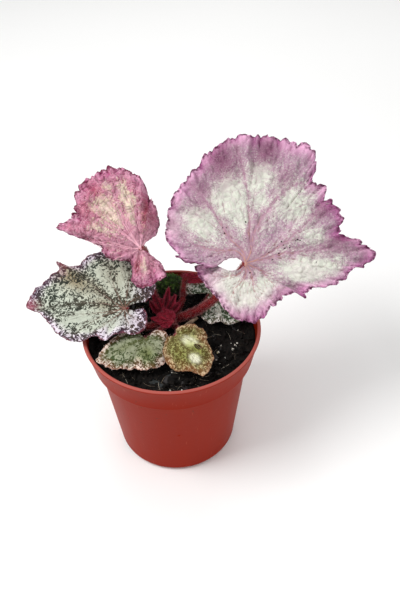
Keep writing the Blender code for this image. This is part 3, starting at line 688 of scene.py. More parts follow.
# %% The blade as a fan
def along(rows, t):
    """A smooth line through evenly spread rows (Catmull-Rom), read at each t from 0 to 1."""
    rows = np.array(rows, dtype=float)
    last = len(rows) - 1
    i = np.minimum((np.asarray(t) * last).astype(int), last - 1)
    u = (t * last - i)[..., None]
    a, b, c, d = (rows[np.clip(i + k, 0, last)] for k in (-1, 0, 1, 2))
    return b + 0.5 * u * (c - a + u * (2 * a - 5 * b + 4 * c - d + u * (3 * (b - c) + d - a)))


def swell_between(veins, bearing):
    """0 on a main vein and 1 halfway to the next one."""
    swell = np.zeros_like(bearing)
    for start, end in zip(veins, veins[1:]):
        inside = (bearing >= start) & (bearing <= end)
        swell = np.where(inside, np.sin(pi * (bearing - start) / (end - start)), swell)
    return swell


def blade_places(leaf, t, s, extra_reach=0.0):
    """Places on a blade in its own frame, x along the midrib: the same formula as the CAD part's."""
    bearing, reach, lift = np.moveaxis(along(leaf["ribs"], t), -1, 0)
    radius = reach * s + extra_reach
    wave = np.sin(2 * pi * leaf["waves"] * t) + 0.5 * np.sin(2 * pi * leaf["waves"] * 0.43 * t + 1)
    puff = leaf["puff"] * swell_between(leaf["veins"], bearing) * 6.75 * s * s * (1 - s)
    ruffle = leaf["ruffle"] * wave * np.minimum(reach / RUFFLE_REACH, 1) * s ** 3
    turn = np.radians(bearing * (1 - leaf["sinus"] * (1 - smooth_step(radius / leaf["sinus_reach"]))))
    height = lift * s * s + puff + ruffle
    return np.stack((radius * np.cos(turn), radius * np.sin(turn), height), -1)


def margin_of(leaf):
    """Arc length along the margin for many values of t."""
    t = np.linspace(0, 1, MARGIN_STEPS + 1)
    edge = blade_places(leaf, t, np.ones_like(t))[:, :2]
    steps = np.hypot(*np.diff(edge, axis=0).T)
    return t, np.concatenate(([0], np.cumsum(steps)))


def even_steps(leaf):
    """The t of each column of the blade's grid, even along the margin."""
    t_fine, length = margin_of(leaf)
    return np.interp(np.linspace(0, length[-1], leaf["columns"] + 1), length, t_fine)


def turn_of(leaf):
    """Rotation of a blade: its X runs along the midrib and its Z is the normal."""
    azimuth, elevation = (radians(value) for value in leaf["faces"])
    normal = Vector((cos(azimuth) * cos(elevation), sin(azimuth) * cos(elevation), sin(elevation)))
    east, north = cos(radians(leaf["heading"])), sin(radians(leaf["heading"]))
    midrib = Vector((east, north, -(normal.x * east + normal.y * north) / normal.z)).normalized()
    return np.array(Matrix((midrib, normal.cross(midrib), normal)).transposed())


def to_world(leaf, places):
    """Places of a blade's frame in the part's frame, in metres."""
    return (np.asarray(places) @ turn_of(leaf).T + np.array(leaf["hub"])) * MM


print("margin of the big leaf:", round(margin_of(LEAVES["big_leaf"])[1][-1]), "mm")

# %% [markdown]
# Veins. Each main vein runs from the hub to the margin with a slight bend, and sends side veins out
# towards its neighbours, one side after the other. They are first drawn as paths of bearing and
# share of the reach. The same paths then sink the blade's upper face and carry the raised cords.

# %% Vein paths
VEIN_END = 0.985
VEIN_POINTS = 30
SIDE_STARTS = (0.2, 0.3, 0.4, 0.5, 0.6, 0.7, 0.8, 0.9)
SIDE_RUN = 0.4
SIDE_POINTS = 9
SIDE_WIDTH = 0.36
WIDEST_GAP = 40  # degrees to the next vein, at most


def vein_paths(leaf):
    """Each vein as (t, s, width): t and s run along it, width is its share of the main vein's."""
    t, _ = margin_of(leaf)
    bearing = np.maximum.accumulate(along(leaf["ribs"], t)[:, 0])
    mains = leaf.get("cords") or [(vein + 3, vein - 3, vein) for vein in leaf["veins"]]
    middles = [main[1] for main in mains]
    limits = [2 * middles[0] - middles[1], *middles, 2 * middles[-1] - middles[-2]]
    paths = []
    for number, (near, middle, far) in enumerate(mains):
        s = np.linspace(0, VEIN_END, VEIN_POINTS)
        course = near * (1 - s) * (1 - 2 * s) + 4 * middle * s * (1 - s) + far * s * (2 * s - 1)
        paths.append((np.interp(course, bearing, t), s, (1 - 0.85 * s ** 0.8)))
        for count, start in enumerate(SIDE_STARTS):
            side = 1 if (count + number) % 2 else -1
            gap = min(abs(limits[number + 1 + side] - middle), WIDEST_GAP) * 0.5
            out = np.linspace(0, 1, SIDE_POINTS)
            s_side = start + (min(start + SIDE_RUN, 0.98) - start) * out
            line = np.interp(s_side, s, course) + side * gap * 0.95 * out ** 0.8 * (1 - 0.25 * out)
            paths.append((np.interp(line, bearing, t), s_side,
                          SIDE_WIDTH * (1 - 0.7 * out) * (1 - 0.4 * start)))
    return paths


print("veins of the big leaf:", len(vein_paths(LEAVES["big_leaf"])))


def nearness(points, line, widths, size):
    """1 on a polyline and falling off round it; size is the fall-off in millimetres at full width."""
    best = np.zeros(len(points))
    for start, end, wide in zip(line, line[1:], widths):
        run = end - start
        share = np.clip((points - start) @ run / max(run @ run, 1e-9), 0, 1)
        away = np.hypot(*(points - start - share[:, None] * run).T)
        best = np.maximum(best, np.exp(-(away / (size * (0.35 + 0.65 * wide))) ** 2) * (0.4 + 0.6 * wide))
    return best


def patch_field(points, patches):
    """Soft ellipses that point away from the hub, as one field. The strength is 1 if left out."""
    field = np.zeros(len(points))
    for bearing, distance, length, width, *strength in patches:
        turn = radians(bearing)
        outward = np.array((cos(turn), sin(turn)))
        local = points - outward * distance
        a, b = local @ outward, local @ np.array((-outward[1], outward[0]))
        spot = np.exp(-((a / length) ** 2 + (b / width) ** 2) * 1.1)
        field = np.maximum(field, (strength or [1.0])[0] * spot)
    return field


# %% [markdown]
# One blade. The margin's teeth are scallops of a few millimetres, spaced by length and not by angle.
# The frill is made of folds in the blade's outer half and a quick crimp at the very edge. Solidify
# gives the blade its skin, with one finish for the upper face, one for the underside and one for the
# rim. The fields that the finishes need, such as how near a vein or the edge a point is, are kept as
# attributes.

# %% The form of a blade
FOLD_MM = 6.5
CRIMP_MM = 2.6
LOBE_MM = 8.5
PLEAT_MM = 5.5
QUILT_MM = (7.5, 3.4)  # the coarse and the fine quilting
THINNED_BY = 0.45


def margin_run(leaf, t):
    """Length along the margin up to t, and the same with the uneven step of the teeth."""
    run = np.interp(t, *margin_of(leaf))
    return run, run + 1.6 * np.sin(run * 0.31) + 0.7 * np.sin(run * 0.83 + 1)


def margin_growth(leaf, t, s, bearing):
    """How far the teeth, the lobes and the notches move each point outwards."""
    run, beat = margin_run(leaf, t)
    scallop = np.abs(np.sin(pi * beat / leaf["tooth_pitch"])) ** 0.7 - 0.6
    uneven = 0.75 + 0.35 * np.sin(run * 0.47 + 2)
    lobe = np.abs(np.sin(pi * beat / LOBE_MM + 1.5 * np.sin(run * 0.07))) ** 0.7 - 0.6
    outward = leaf["tooth"] * scallop * uneven * smooth_step((s - 0.9) / 0.1)
    towards_tip = 1 + 0.5 * np.cos(np.radians(bearing))
    outward += leaf["lobe"] * lobe * (1.7 - uneven) * towards_tip * smooth_step((s - 0.75) / 0.25)
    for middle, half, depth in leaf.get("notch", ()):
        outward -= depth * np.exp(-((bearing - middle) / half) ** 2) * smooth_step((s - 0.6) / 0.4)
    return outward


def folds(leaf, t, s):
    """Waves towards the margin: folds that reach far in, and a quick crimp at the very edge."""
    run, _ = margin_run(leaf, t)
    reach = along(leaf["ribs"], t)[:, 1]
    inward = reach * (1 - s)
    far = np.stack((run / FOLD_MM, inward / 30, np.zeros_like(run)), -1)
    near = np.stack((run / CRIMP_MM, inward / 9, np.full_like(run, 5.0)), -1)
    fold = 2.2 * bumps(far, 1.0, 0.3) * smooth_step((s - 0.45) / 0.5)
    crimp = 1.3 * bumps(near, 1.0, 0.8) * smooth_step((s - 0.75) / 0.22)
    return leaf["frill"] * (fold + crimp) * np.minimum(reach / RUFFLE_REACH, 1)


def relief(leaf, t, s, flat, near_vein):
    """Height over the plain blade: folds at the margin, and quilting that sinks at the veins."""
    size = min(leaf["vein_radius"] / 0.75, 1)
    coarse, fine = (np.abs(bumps(flat, mm * size, seed)) for mm, seed in zip(QUILT_MM, (3.1, 8.2)))
    quilt = 2.4 * coarse + 1.2 * fine - 0.7
    height = folds(leaf, t, s) + leaf["quilt"] * (quilt - 0.8 * near_vein) * smooth_step(s / 0.15)
    height -= patch_field(flat, leaf.get("crease", ()))
    if "pleat" in leaf:
        distance = np.hypot(*flat.T) + 5 * bumps(flat, 12.0, 4.0)
        height += patch_field(flat, leaf["pleat"]) * np.sin(2 * pi * distance / PLEAT_MM)
    return height


def thinning(s):
    """How thick the blade is at s, as a share: it thins towards the margin."""
    return 1 - THINNED_BY * smooth_step((s - 0.7) / 0.3)


print("folds every", FOLD_MM, "mm and crimps every", CRIMP_MM, "mm along the margin")

# %% The fields of a blade
VEIN_MM = 1.3
ZONE_MM = 6.0
MAIN_WIDTH = 0.9  # a path that starts wider than this is a main vein
FAR_FROM_EDGE = 20.0


def vein_fields(leaf, flat, paths):
    """How near each point is to any vein, to one that is painted, and to a main vein's wide zone."""
    near, painted, wide = (np.zeros(len(flat)) for _ in range(3))
    for path_t, path_s, widths in paths:
        line = blade_places(leaf, path_t, path_s)[:, :2]
        here = nearness(flat, line, widths, VEIN_MM)
        near = np.maximum(near, here)
        is_main = widths[0] > MAIN_WIDTH
        painted = np.maximum(painted, here * (1.0 if is_main else leaf["side_share"]))
        if is_main:
            wide = np.maximum(wide, nearness(flat, line, widths, ZONE_MM))
    return near, painted, wide


def blade_fields(leaf, t, s, flat, veins):
    """The fields that the finishes read, each as its value at the hub and at every other point."""
    near, painted, wide = veins
    bearing, reach, _ = along(leaf["ribs"], t).T
    edge = reach * (1 - s)
    uneven_edge = edge + 3.0 * bumps(flat, 9.0, 5.5) + 2.0 * bumps(flat, 3.5, 1.5)
    rim = 1 - smooth_step(uneven_edge / leaf["margin_width"])
    rim = np.maximum(rim, np.minimum(patch_field(flat, leaf.get("blush", ())), 1))
    astray = flat + np.stack((bumps(flat, 6.0, 2.2), bumps(flat, 6.0, 9.4)), -1) * 5.0
    band = smooth_step(s / 0.3) * (1 - smooth_step((s - 0.6) / 0.3))
    wedge = swell_between(leaf["veins"], bearing) * band
    share = leaf["base"] + leaf["wedge"] * (wedge - 0.3) + 0.75 * patch_field(astray, leaf.get("patch", ()))
    share += leaf["vein_share"] * painted + leaf["rim_share"] * rim
    fields = {
        "edge": (FAR_FROM_EDGE, edge), "rim": (0.0, rim), "vein": (1.0, near),
        "zone": (1.0, wide * (1 - 0.55 * s)), "share": (leaf["base"], share),
        # painted light on the folds: 0.5 on the flat, higher towards a fold's crest and lower in its hollow
        "painted_fold_light": (0.5, 0.5 + 0.9 * folds(leaf, t, s) / leaf["frill"])}
    return fields | {key: (0.0, patch_field(flat, leaf.get(key, ()))) for key in ("fleck", "tint", "wash")}


print("the wide zone of a main vein reaches", ZONE_MM, "mm to each side")

# %% Build a blade
HOLE_LEVEL = 0.33  # the soft ellipse's value at its own rim
ROW_CROWDING = 1.12  # how much closer the rows lie towards the margin


def grid_faces(columns, rows):
    """Quads of the grid, with triangles round the hub, which is vertex 0."""
    first = 1 + np.arange(columns)[:, None] * rows + np.arange(rows - 1)[None, :]
    quads = np.stack((first, first + 1, first + rows + 1, first + rows), -1).reshape(-1, 4)
    start = 1 + np.arange(columns) * rows
    fans = np.stack((np.zeros_like(start), start, start + rows), -1)
    return [tuple(face) for face in quads.tolist() + fans.tolist()]


def add_skin(blade, s):
    """Give the blade its thickness, with finishes of its own for the underside and the rim."""
    group = blade.vertex_groups.new(name="thickness")
    thickness = np.round(np.concatenate(([1.0], thinning(s))), 2)
    for level in np.unique(thickness):
        group.add(np.nonzero(thickness == level)[0].tolist(), float(level), "REPLACE")
    skin = blade.modifiers.new("skin", "SOLIDIFY")
    skin.thickness = BLADE_THICKNESS * MM
    skin.offset = 0
    skin.vertex_group = group.name
    skin.material_offset = 1
    skin.material_offset_rim = 2


def make_blade(name, leaf, paths):
    """The blade as an object with its skin and its fields."""
    rows_s = 1 - (1 - np.linspace(0, 1, leaf["rows"] + 1)) ** ROW_CROWDING
    t, s = (grid.ravel() for grid in np.meshgrid(even_steps(leaf), rows_s[1:], indexing="ij"))
    places = blade_places(leaf, t, s, margin_growth(leaf, t, s, along(leaf["ribs"], t)[:, 0]))
    flat = places[:, :2]
    veins = vein_fields(leaf, flat, paths)
    places[:, 2] += relief(leaf, t, s, flat, veins[0])

    gone = np.concatenate(([0.0], patch_field(flat, leaf.get("hole", ()))))
    faces = [face for face in grid_faces(leaf["columns"], leaf["rows"])
             if gone[list(face)].mean() < HOLE_LEVEL]
    mesh = bpy.data.meshes.new(name)
    mesh.from_pydata(to_world(leaf, np.vstack((np.zeros((1, 3)), places))).tolist(), [], faces)
    for field, (at_hub, values) in blade_fields(leaf, t, s, flat, veins).items():
        set_field(mesh, field, np.concatenate(([at_hub], values)))
    fan = np.stack((np.arctan2(flat[:, 1], flat[:, 0]) * leaf["fan"], np.hypot(*flat.T), 0 * s), -1) * MM
    polar = mesh.attributes.new("polar", "FLOAT_VECTOR", "POINT")
    polar.data.foreach_set("vector", np.vstack((np.zeros(3), fan)).astype(np.float32).ravel())
    blade = link_new(name, mesh)
    add_skin(blade, s)
    return blade


print("grid of the big leaf:", LEAVES["big_leaf"]["columns"], "by", LEAVES["big_leaf"]["rows"])

# %% [markdown]
# Tubes. Vein cords, stalks, fibres and the dry stalk are all round and follow a path. A curve with a
# bevel could make them, but a small tree does it with its ends closed and its finish set, and takes
# many paths at once, each with a taper of its own.

# %% Tubes along paths
def tube_tree():
    """A round tube along each spline of a curve, as thick as the curve's radius says."""
    tree, given = new_tree("tube_along_path", {"Path": "Geometry", "Sides": "Int", "Finish": "Material"})
    ring = add(tree, "GeometryNodeCurvePrimitiveCircle", {"Resolution": given["Sides"], "Radius": MM})
    thick = add(tree, "GeometryNodeInputRadius")
    tube = add(tree, "GeometryNodeCurveToMesh",
               {"Curve": given["Path"], "Profile Curve": ring, "Scale": thick, "Fill Caps": True})
    return end_tree(tree, tube, given["Finish"])


TUBE = tube_tree()
print("tube takes:", *[item.name for item in TUBE.interface.items_tree])


def tubes(name, paths, sides, material):
    """Tubes along several paths of (places in metres, radii in millimetres), as one object."""
    data = bpy.data.curves.new(name, "CURVE")
    data.dimensions = "3D"
    for places, radii in paths:
        spline = data.splines.new("POLY")
        spline.points.add(len(places) - 1)
        for knot, place, radius in zip(spline.points, places, radii):
            knot.co = (*place, 1)
            knot.radius = radius
    made = run_tree(name, data, TUBE, Sides=sides, Finish=material)
    bm = bmesh.new()
    bm.from_mesh(made.data)
    bmesh.ops.remove_doubles(bm, verts=bm.verts, dist=0.001 * MM)
    bmesh.ops.recalc_face_normals(bm, faces=bm.faces)
    bm.to_mesh(made.data)
    bm.free()
    return made


# %% [markdown]
# Leaf finishes. The silver of a rex begonia is air under the skin: pale scales over a darker ground,
# crowded between the veins and scattered near them and the margin. So one pattern serves every leaf:
# a fine noise, raised or lowered by each leaf's 'share' field, decides where the pale scale shows.
# The scales are about 1 mm across on the real leaf. The face is satin, with a fine grain.

# %% Leaf colours
PAINTS = {  # for the big, pink, silver, front, bronze, back and the three crimson leaves
    # the dark ground
    "ground": ("#AE879E", "#BC6C88", "#2E362C", "#33441A", "#58491C", "#34462E", "#64061A"),
    # the same at the margin; on the upper face it is also the painted shade in the hollows of the margin's
    # folds
    "ground_margin": ("#B4649A", "#AE4F80", "#3A2434", "#5A3420", "#64401E", "#4A4A38", "#7A0A26"),
    # and on the crests of its folds, as painted highlight
    "painted_fold_light": ("#ECB0D4", "#E8A0C2", "#4E3044", "#86583C", "#855634", "#6A6450", "#AC1E3A"),
    # and along the main veins
    "zone": ("#BC95A4", "#DA9EB0", "#4C4436", "#5E663C", "#6C6230", "#485C40", "#98182E"),
    # the pale scale
    "scale": ("#DBDED0", "#E6D2BC", "#C6CCBC", "#9DA186", "#A8A86C", "#DAE0D2", "#98162E"),
    # the same at the margin
    "scale_margin": ("#E4B2D2", "#DFA2BE", "#F0E2F2", "#F0DCD0", "#D6BA96", "#ECE6E0", "#AE2442"),
    # the thin line at the edge
    "edge": ("#5A2042", "#6A1C36", "#6E3440", "#BC9486", "#94684C", "#9A857A", "#9C2A42"),
    # what darker stretches are multiplied by
    "tint": ("#BE98AE", "#C9697C", "#B39A7C", "#B4C070", "#D2DC78", "#B0B080", "#A04050"),
    # stretches of one colour
    "wash": ("#EFE6E2", "#E6D8C0", "#A85A6A", "#A2B064", "#EDEBD2", "#A2B064", "#C23850"),
    # vein cords at the hub
    "vein_hub": ("#BE8C7E", "#E6AEBC", "#7C5040", "#66663A", "#8C8048", "#6A6A48", "#A81C34"),
    # and far from it
    "vein_far": ("#B794A2", "#EBB6C6", "#8C8E80", "#8A8E70", "#8A8050", "#6E7A58", "#B02844"),
    # the finest veins
    "net": ("#B58CA4", "#EBB4C8", "#40463A", "#394718", "#58491C", "#55634A", "#C23850"),
    "fleck": ("#241018", "#2A1420", "#5A4A30", "#2A1420", "#0A0806", "#2A1420", "#2A1420"),  # dark specks
    # the lower skin
    "under": ("#8E4A5C", "#6A1628", "#5E2430", "#6A2C34", "#6A2C34", "#6A2C34", "#8A1228"),
    "hair_root": ("#6E2E50", "#6E2440", "#6A4050", "#B48A7C", "#A87E66", "#8E7468", "#9A1C34"),  # hairs
    # and the palest of them
    "hair_tip": ("#BE7CA2", "#C07890", "#C8AEB8", "#DCC0B0", "#D8B8A0", "#CDB8AC", "#CC5C70"),
    "speckle_mm": (1.0, 1.5, 2.8, 2.3, 1.9, 2.3, 1.2),  # size of the scales
    "wander": (0.8, 0.8, 1.5, 1.3, 1.2, 1.3, 0.6),  # how ragged they are
    "soft": (0.3, 0.24, 0.06, 0.06, 0.06, 0.07, 0.6),  # how soft their edges are
    "mottle": (0.2, 0.28, 0.22, 0.16, 0.18, 0.16, 0.35),  # how much the tone varies
    "fleck_mm": (2.2, 1.9, 1.9, 1.9, 1.9, 1.9, 1.9),  # spacing of the specks
    "net_mm": (4.5, 2.7, 3.0, 2.6, 2.4, 2.6, 2.2),  # size of the net's meshes
    "net_mix": (0.25, 0.55, 0.0, 0.0, 0.2, 0.0, 0.3),  # its strength
    "pillow": (3.0, 8.0, 1.5, 2.0, 2.0, 2.0, 3.5),  # how far its meshes swell
    "border_mm": (2.8, 2.6, 1.5, 0.9, 0.9, 0.9, 2.4),  # width of the line at the edge
}
SLOTS = {name: name for name in LEAVES} | {"sheath_leaf": "young_leaf", "bud_leaf": "young_leaf"}
LOOKS = {name: {key: values[number] for key, values in PAINTS.items()}
         for number, name in enumerate(dict.fromkeys(SLOTS.values()))}
print("looks:", *LOOKS)


# %% The upper face of a leaf
FIELDS = ("edge", "rim", "vein", "zone", "share", "fleck", "tint", "painted_fold_light", "wash")
print("fields of a leaf's upper face:", *FIELDS)


def leaf_face(name, look, velvet, vein_mix):
    """Pale scales over a darker ground, both of which change towards the margin."""
    material, tree, shader, place = new_finish(
        name + "_upper_skin", Roughness=0.55, IOR=1.42, Specular_IOR_Level=0.25, Sheen_Roughness=0.4,
        Sheen_Weight=0.12 if velvet else 0.03)
    polar = add(tree, "ShaderNodeAttribute", out="Vector", attribute_name="polar")
    field = {key: add(tree, "ShaderNodeAttribute", out="Fac", attribute_name=key) for key in FIELDS}
    kinds = {  # size in millimetres, detail, roughness and wander of each noise
        "speckle": (look["speckle_mm"], 2.0, 0.6, look["wander"]), "clouds": (8.0, 3.0, 0.6, 0.0),
        "breaks": (2.4, 2.0, 0.6, 0.0), "grain": (0.5, 1.5, 0.6, 0.0), "astray": (5.0, 1.0, 0.5, 0.0)}
    noises = {label: add(tree, "ShaderNodeTexNoise",
                         {"Vector": place, "Scale": 1 / (size * MM), "Detail": detail,
                          "Roughness": rough, "Distortion": wander})
              for label, (size, detail, rough, wander) in kinds.items()}
    bent = add(tree, "ShaderNodeVectorMath",
               {0: noises["astray"].node.outputs["Color"], 1: (5 * MM, 5 * MM, 0), 2: polar},
               operation="MULTIPLY_ADD")
    net = add(tree, "ShaderNodeTexVoronoi", {"Vector": bent, "Scale": 1 / (look["net_mm"] * MM)},
              feature="DISTANCE_TO_EDGE")
    cells = add(tree, "ShaderNodeTexVoronoi", {"Vector": place, "Scale": 1 / (look["fleck_mm"] * MM)})
    level = add(tree, "ShaderNodeMath", {0: field["share"], 1: noises["speckle"]}, operation="ADD")
    soft, mottle = look["soft"] / 2, look["mottle"]
    spans = {  # value, from, to, and what these become
        "pale": (level, 1 - soft, 1 + soft, 0.0, 1.0),
        "vein": (field["vein"], 0.55, 0.95, 0.0, vein_mix),
        "net": (net, 0.02, 0.13, look["net_mix"], 0.0),
        "tone": (noises["clouds"], 0.3, 0.7, 1 - mottle, 1 + 0.4 * mottle),
        "dot": (cells, 0.26, 0.34, 1.0, 0.0),
        "border": (field["edge"], 0.35 * look["border_mm"], look["border_mm"], 0.95, 0.0),
        "breaks": (noises["breaks"], 0.42, 0.54, 0.0, 1.0),
        "pillow": (net, 0.0, 0.3, 0.0, look["pillow"])}
    span = {label: add(tree, "ShaderNodeMapRange",
                       {"Value": value, "From Min": start, "From Max": end, "To Min": low, "To Max": high})
            for label, (value, start, end, low, high) in spans.items()}
    sums = (  # result, operation and its two sides
        ("chosen", "GREATER_THAN", field["fleck"], cells.node.outputs["Color"]),
        ("dark", "MULTIPLY", span["dot"], "chosen"), ("outline", "MULTIPLY", span["border"], span["breaks"]),
        ("rough", "ADD", noises["grain"], noises["speckle"]), ("height", "ADD", "rough", span["pillow"]))
    for result, operation, first, second in sums:
        span[result] = add(tree, "ShaderNodeMath", {0: span.get(first, first), 1: span.get(second, second)},
                           operation=operation)
    colour = {key: linear(value) for key, value in look.items() if isinstance(value, str)}
    colour["tone"] = add(tree, "ShaderNodeCombineXYZ", {n: span["tone"] for n in range(3)})
    layers = (  # result, share, what lies under, what lies over
        # the margin runs from painted shade in its folds' hollows to painted highlight on their crests
        ("margin", field["painted_fold_light"], "ground_margin", "painted_fold_light"), ("ground", field["rim"], "ground", "margin"),
        ("ground", field["zone"], "ground", "zone"), ("scale", field["rim"], "scale", "scale_margin"),
        ("skin", span["pale"], "ground", "scale"), ("skin", span["net"], "skin", "net"),
        ("skin", span["vein"], "skin", "vein_far"), ("skin", field["wash"], "skin", "wash"),
        ("skin", field["tint"], "skin", "tint"), ("skin", 1.0, "skin", "tone"),
        ("skin", span["dark"], "skin", "fleck"), ("skin", span["outline"], "skin", "edge"))
    for result, share, under, over in layers:
        blend = "MULTIPLY" if over in ("tint", "tone") else "MIX"
        colour[result] = add(tree, "ShaderNodeMix", {0: share, 6: colour[under], 7: colour[over]}, out=2,
                             data_type="RGBA", blend_type=blend)
    wire(tree, shader, colour["skin"], span["height"], 0.6)
    return material


# %% [markdown]
# Hairs. Begonias of this kind are hairy on their stalks, their margins and, while they are young, all
# over. A hair is about 1 mm long and far too fine to show, so it is drawn 0.1 mm thick. Hair curves
# would be simpler, but they have no mesh of their own. So a hair is a slim three-sided spike with a
# bend, with few faces because there are thousands, and the spreading tree sets it on its host.

# %% One hair
HAIR_RADIUS = 0.05
HAIR_BEND = 0.25


def hair_shape():
    """A bent three-sided spike 1 mm long, standing on its root."""
    bm = bmesh.new()
    rings = []
    for height, wide in ((0.0, HAIR_RADIUS), (0.5, 0.7 * HAIR_RADIUS)):
        turns = [2 * pi * corner / 3 for corner in range(3)]
        rings.append([bm.verts.new(Vector((wide * cos(turn) + HAIR_BEND * height ** 2, wide * sin(turn),
                                           height)) * MM) for turn in turns])
    tip = bm.verts.new(Vector((HAIR_BEND, 0, 1)) * MM)
    root, upper = rings
    bm.faces.new(root[::-1])
    for corner in range(3):
        after = (corner + 1) % 3
        bm.faces.new((root[corner], root[after], upper[after], upper[corner]))
        bm.faces.new((upper[corner], upper[after], tip))
    return from_bmesh("hair", bm, hidden=True)


HAIR = hair_shape()
print("hair:", len(HAIR.data.polygons), "faces")


# %% Margin hairs and vein cords
STRIP_HALF = 0.15
CORD_SIDES = 6
PALE_FROM = 45  # how far from the hub a vein has its outer colour, in millimetres


def margin_strip(leaf):
    """A narrow strip along a blade's margin whose faces look outwards, for hairs to stand on."""
    t = even_steps(leaf)
    edge = blade_places(leaf, t, np.ones_like(t))
    half = np.array([0.0, 0.0, STRIP_HALF])
    places = to_world(leaf, np.concatenate((edge - half, edge + half)))
    count = len(t)
    mesh = bpy.data.meshes.new("margin_strip")
    mesh.from_pydata(places.tolist(), [], [(k, k + 1, count + k + 1, count + k) for k in range(count - 1)])
    return mesh


def vein_cords(name, leaf, paths, material):
    """Each vein as two tubes sunk in the blade: a fine one on its face, a fuller one on its back."""
    cords = []
    for path_t, path_s, widths in paths:
        plain = blade_places(leaf, path_t, path_s)
        plain[:, 2] += relief(leaf, path_t, path_s, plain[:, :2], 0.4 + 0.6 * widths)
        half = BLADE_THICKNESS / 2 * thinning(path_s)
        upper = leaf["vein_radius"] * (0.1 + 0.55 * widths ** 1.5)
        lower = leaf["vein_radius"] * (0.2 + widths)
        face, back = plain.copy(), plain.copy()
        face[:, 2] += half + 0.1 + 0.25 * upper - upper
        back[:, 2] -= half + 0.4 * lower
        cords += [(to_world(leaf, face), upper), (to_world(leaf, back), lower)]
    made = tubes(name, cords, CORD_SIDES, material)
    away = np.linalg.norm(places_of(made.data) - np.array(leaf["hub"]), axis=1)
    set_field(made.data, "out", np.clip(away / PALE_FROM, 0, 1))
    made.data.shade_smooth()
    return made


print("vein cords have", CORD_SIDES, "sides")

# %% Build every leaf
VELVET = ("young_leaf", "sheath_leaf", "bud_leaf")
MARGIN_LEAN = 0.6
DOWN = (1.6e6, 0.5, 1.3, 0.7)  # hairs per square metre, shortest, longest and lean


def build_leaf(name, leaf):
    """A leaf's blade with its veins, and its hairs."""
    slot, paths = SLOTS[name], vein_paths(leaf)
    look = LOOKS[slot]
    blade = make_blade(name + "_skin", leaf, paths)
    for finish in (  # the upper face, the dull red underside and the rim
            leaf_face(name, look, name in VELVET, leaf["vein_mix"]),
            two_tone(name + "_lower_skin", look["under"], "#8C6468", 5.0, span=(0, 1), detail=4.0,
                     bump=(0.4, 0.6), over=("vein", "#A0505A"), Roughness=0.6, IOR=1.42, Sheen_Weight=0.1),
            two_tone(name + "_rim", look["edge"], look["ground_margin"], 1.2, Roughness=0.5)):
        blade.data.materials.append(finish)
    blade = bake_object(blade, name + "_blade")
    blade.data.shade_smooth()
    # Veins are smooth and satin; hairs are clear with a little red sap, so they look paler.
    cord_finish = two_tone(name + "_vein", look["vein_hub"], look["vein_far"], 2.0, "out", Roughness=0.5)
    blade = joined(name + "_blade", [blade, vein_cords(name + "_veins", leaf, paths, cord_finish)])
    finish_piece(blade, slot, name)
    hair_finish = two_tone(name + "_hair", look["hair_root"], look["hair_tip"], 1.0, Roughness=0.55)
    hairs = [spread(name + "_margin_hairs", margin_strip(leaf), HAIR, 7, hair_finish,
                    leaf["hair_density"], leaf["hair_short"], leaf["hair_long"], MARGIN_LEAN)]
    if name in VELVET:
        hairs.append(spread(name + "_down", blade.data, HAIR, 11, hair_finish, *DOWN))
    finish_piece(joined(name + "_hairs", hairs), slot)


for name, leaf in LEAVES.items():
    build_leaf(name, leaf)

# %% [markdown]
# Stalks and rhizome. A rex begonia grows from a fat creeping stem, the rhizome, half sunk in the soil;
# its leaf stalks are juicy, crimson and hairy. Each stalk is a tube along its route, which tapers and
# bends as a real one does, where a cylinder could not. The routes are the CAD part's own: they begin
# inside the rhizome and end square under their leaf's hub.

# %% Stalk routes
CROWN = (-3.0, 13.0)
CAD_BLADE_THICKNESS = 0.8
POINTS_PER_SPAN = 9
STALK_SIDES = 16
SUNK = 0.4
STALKS = {  # radius at the foot and under the blade, then the knots of the route
    "big_leaf": (2.9, 2.1, (-1, 13, 97), (9.5, 11, 102.5), (19.5, 9, 110), (30, 7.5, 121), (40, 8, 134)),
    "pink_leaf": (2.4, 1.7, (-4, 16, 96), (-9, 24, 101), (-14, 31, 113), (-15, 33, 130), (-16, 26, 147)),
    "silver_leaf": (2.3, 1.7, (-4, 12, 97), (-12, 4, 100.6), (-19, 0, 104), (-26, -2.5, 112)),
    "front_leaf": (1.8, 1.3, (-3, 11, 97), (-6, 1, 101), (-11, -9, 105)),
    "bronze_leaf": (1.8, 1.3, (-1, 10, 97), (4.5, 1, 99), (5, -8, 103.5)),
    "back_leaf": (1.8, 1.3, (-1, 15, 97), (9.5, 16, 99), (19.5, 20.5, 100.3)),
    "young_leaf": (2.4, 1.6, (-4.6, 11.5, 91)),
    "sheath_leaf": (2.0, 1.2, (-2, 11, 98)),
    "bud_leaf": (2.0, 1.4, (-1, 15, 98), (4.5, 19, 102.5), (7.5, 24, 107), (8.3, 28, 112.5)),
}
ON_END = ("young_leaf", "bud_leaf")  # folded leaves whose stalk runs on into the midrib


def stalk_path(name):
    """Places in metres and radii in millimetres along a stalk, up into its blade's hub."""
    leaf, (foot, top, *route) = LEAVES[name], STALKS[name]
    line = turn_of(leaf)[:, 0 if name in ON_END else 2]
    seat = SUNK + (0 if name in ON_END else CAD_BLADE_THICKNESS / 2)
    hub = np.array(leaf["hub"], dtype=float)
    knots = [*route, tuple(hub - line * (seat + top))]
    t = np.linspace(0, 1, (len(knots) - 1) * POINTS_PER_SPAN + 1)
    places = np.vstack((along(knots, t), hub - line * 0.1))
    return places * MM, np.interp(np.linspace(0, 1, len(places)), (0, 1), (foot, top))


# Crimson, juicy tissue with a thin skin: satin, with a soft gloss.
stalk_skin = two_tone("hairy_crimson_stalk", "#5A0A12", "#8E1C20", 3.0, Roughness=0.45, IOR=1.42,
                      Specular_IOR_Level=0.25)
stalks = tubes("stalks", [stalk_path(name) for name in STALKS], STALK_SIDES, stalk_skin)
print("stalks:", len(STALKS))

